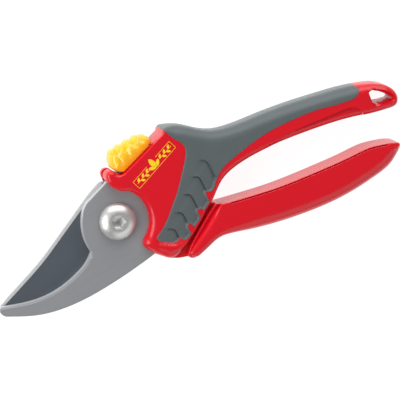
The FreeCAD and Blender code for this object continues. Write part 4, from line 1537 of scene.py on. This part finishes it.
dome_low, dome_rise = HOOK_HIGH + 0.8, BOLT_TOP - HOOK_HIGH - 0.8
bolt_rings = [
    (shank_radius - 0.5, 0.0, 0.0),
    (shank_radius, 0.5, 0.0),
    (shank_radius, HOOK_HIGH, 0.0),
    (head_radius - 0.8, HOOK_HIGH, 0.0),
    (head_radius - 0.7, HOOK_HIGH + 0.45, 0.0),
    (head_radius, HOOK_HIGH + 0.55, 0.0),
    (head_radius, dome_low, 0.0),
]
for k in range(1, 11):
    turn = k / 10 * DOME_TURN
    bolt_rings.append((
        crown_radius + (head_radius - crown_radius) * (math.cos(turn) - math.cos(DOME_TURN))
        / (1 - math.cos(DOME_TURN)),
        dome_low + dome_rise * math.sin(turn) / math.sin(DOME_TURN),
        0.0,
    ))
bolt_rings += [
    (HEX_ACROSS + 0.7, BOLT_TOP - 0.01, 1.0),
    (HEX_ACROSS + 0.4, BOLT_TOP - 0.06, 1.0),
    (HEX_ACROSS, BOLT_TOP - 0.35, 1.0),
    (HEX_ACROSS, BOLT_TOP - 2.9, 1.0),
    (HEX_ACROSS - 0.3, BOLT_TOP - 3.0, 1.0),
    (1.4, BOLT_TOP - 3.6, 0.0),
    (0.1, BOLT_TOP - 3.9, 0.0),
]
bolt = turned("button_bolt", bolt_rings, 96)
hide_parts("pivot_bolt")
dress(bolt, bright_steel, "upper_handle")

# %% [markdown]
# ## Pieces kept from the model
# Washers, nut, bush, seats, bumper, track plate, lock key and lock pin already have their
# right shape, so they only get a finish. The track plate is red like the shell round it.

# %% Finish the small parts
PLAIN = {
    "pivot_bush": bronze,
    "thrust_washer": zinc_steel,
    "lock_washer": spring_steel,
    "pivot_nut": zinc_steel,
    "spring_seat_upper": zinc_steel,
    "spring_seat_lower": zinc_steel,
    "closing_bumper": bumper_rubber,
    "lock_track_plate": red_plastic,
    "lock_key": zinc_steel,
    "lock_pin": zinc_steel,
}
for node, material in PLAIN.items():
    coat_with(bpy.data.objects[node], material)
print("plain pieces", len(PLAIN))

# %% [markdown]
# ## Floor, light and camera
# The shears lie on a plain white floor under large soft lights. The camera looks down on them
# from a little to the upper left with a long lens, and it is turned so that the handles point
# up to the right.

# %% Floor and lights
floor_mesh = bpy.data.meshes.new("floor")
floor_mesh.from_pydata([(-3, -3, 0), (3, -3, 0), (3, 3, 0), (-3, 3, 0)], [], [(0, 1, 2, 3)])
floor = bpy.data.objects.new("floor", floor_mesh)
bpy.context.scene.collection.objects.link(floor)
floor_white = finish("floor_white", (0.2, 0.2, 0.2), (0.19, 0.19, 0.19), 0.9, grain=40.0)
set_shader(floor_white, {
    "Emission Color": (1, 1, 1, 1), "Emission Strength": 0.93, "Specular IOR Level": 0.0,
})
floor_mesh.materials.append(floor_white)

world = bpy.data.worlds.new("studio")
bpy.context.scene.world = world
world.use_nodes = True
world.node_tree.nodes["Background"].inputs["Color"].default_value = (1, 1, 1, 1)
world.node_tree.nodes["Background"].inputs["Strength"].default_value = 0.22


def soft_light(name, place, aim, size, power):
    """A large soft light at a place, turned towards aim."""
    lamp = bpy.data.lights.new(name, "AREA")
    lamp.shape = "RECTANGLE"
    lamp.size, lamp.size_y = size
    lamp.energy = power
    lamp_object = bpy.data.objects.new(name, lamp)
    lamp_object.location = place
    way = Vector(aim) - Vector(place)
    lamp_object.rotation_euler = way.to_track_quat("-Z", "Y").to_euler()
    bpy.context.scene.collection.objects.link(lamp_object)


AIM = (0.03, 0, 0)
soft_light("back", (0.50, 0.85, 0.50), AIM, (1.5, 0.8), 11.0)
soft_light("left", (-0.75, 0.30, 0.55), AIM, (0.9, 0.5), 7.0)
soft_light("front", (0.20, -0.95, 0.60), AIM, (1.7, 0.9), 4.5)

# %% Camera
ROLL = math.radians(29)
TILT = math.radians(15)
LEAN = math.radians(150)
WIDE = 400 / 2.15 * MM
AWAY = 3.0
middle = (38.42, 10.0)
pivot = np.array([0.0, 0.0, 14.1])
d = (math.cos(LEAN), math.sin(LEAN))
c, s = math.cos(TILT), math.sin(TILT)


def in_frame(a, b, z):
    """A direction of the rolled view, given in the shears' own axes."""
    return np.array([
        a * math.cos(ROLL) + b * math.sin(ROLL), -a * math.sin(ROLL) + b * math.cos(ROLL), z
    ])


right = in_frame(1 - (1 - c) * d[0] * d[0], -(1 - c) * d[0] * d[1], -s * d[0])
up = in_frame(-(1 - c) * d[0] * d[1], 1 - (1 - c) * d[1] * d[1], -s * d[1])
back = in_frame(s * d[0], s * d[1], c)
camera_data = bpy.data.cameras.new("camera")
camera_data.sensor_width = 36.0
camera_data.lens = 36.0 * AWAY / WIDE
camera_data.clip_start = 0.01
camera = bpy.data.objects.new("camera", camera_data)
place = (pivot + right * middle[0] + up * middle[1]) * MM + back * AWAY
matrix = [[right[k], up[k], back[k], place[k]] for k in range(3)] + [[0, 0, 0, 1]]
camera.matrix_world = Matrix(matrix)
bpy.context.scene.collection.objects.link(camera)
bpy.context.scene.camera = camera
bpy.context.scene.view_settings.view_transform = "Standard"
print("camera at", place)
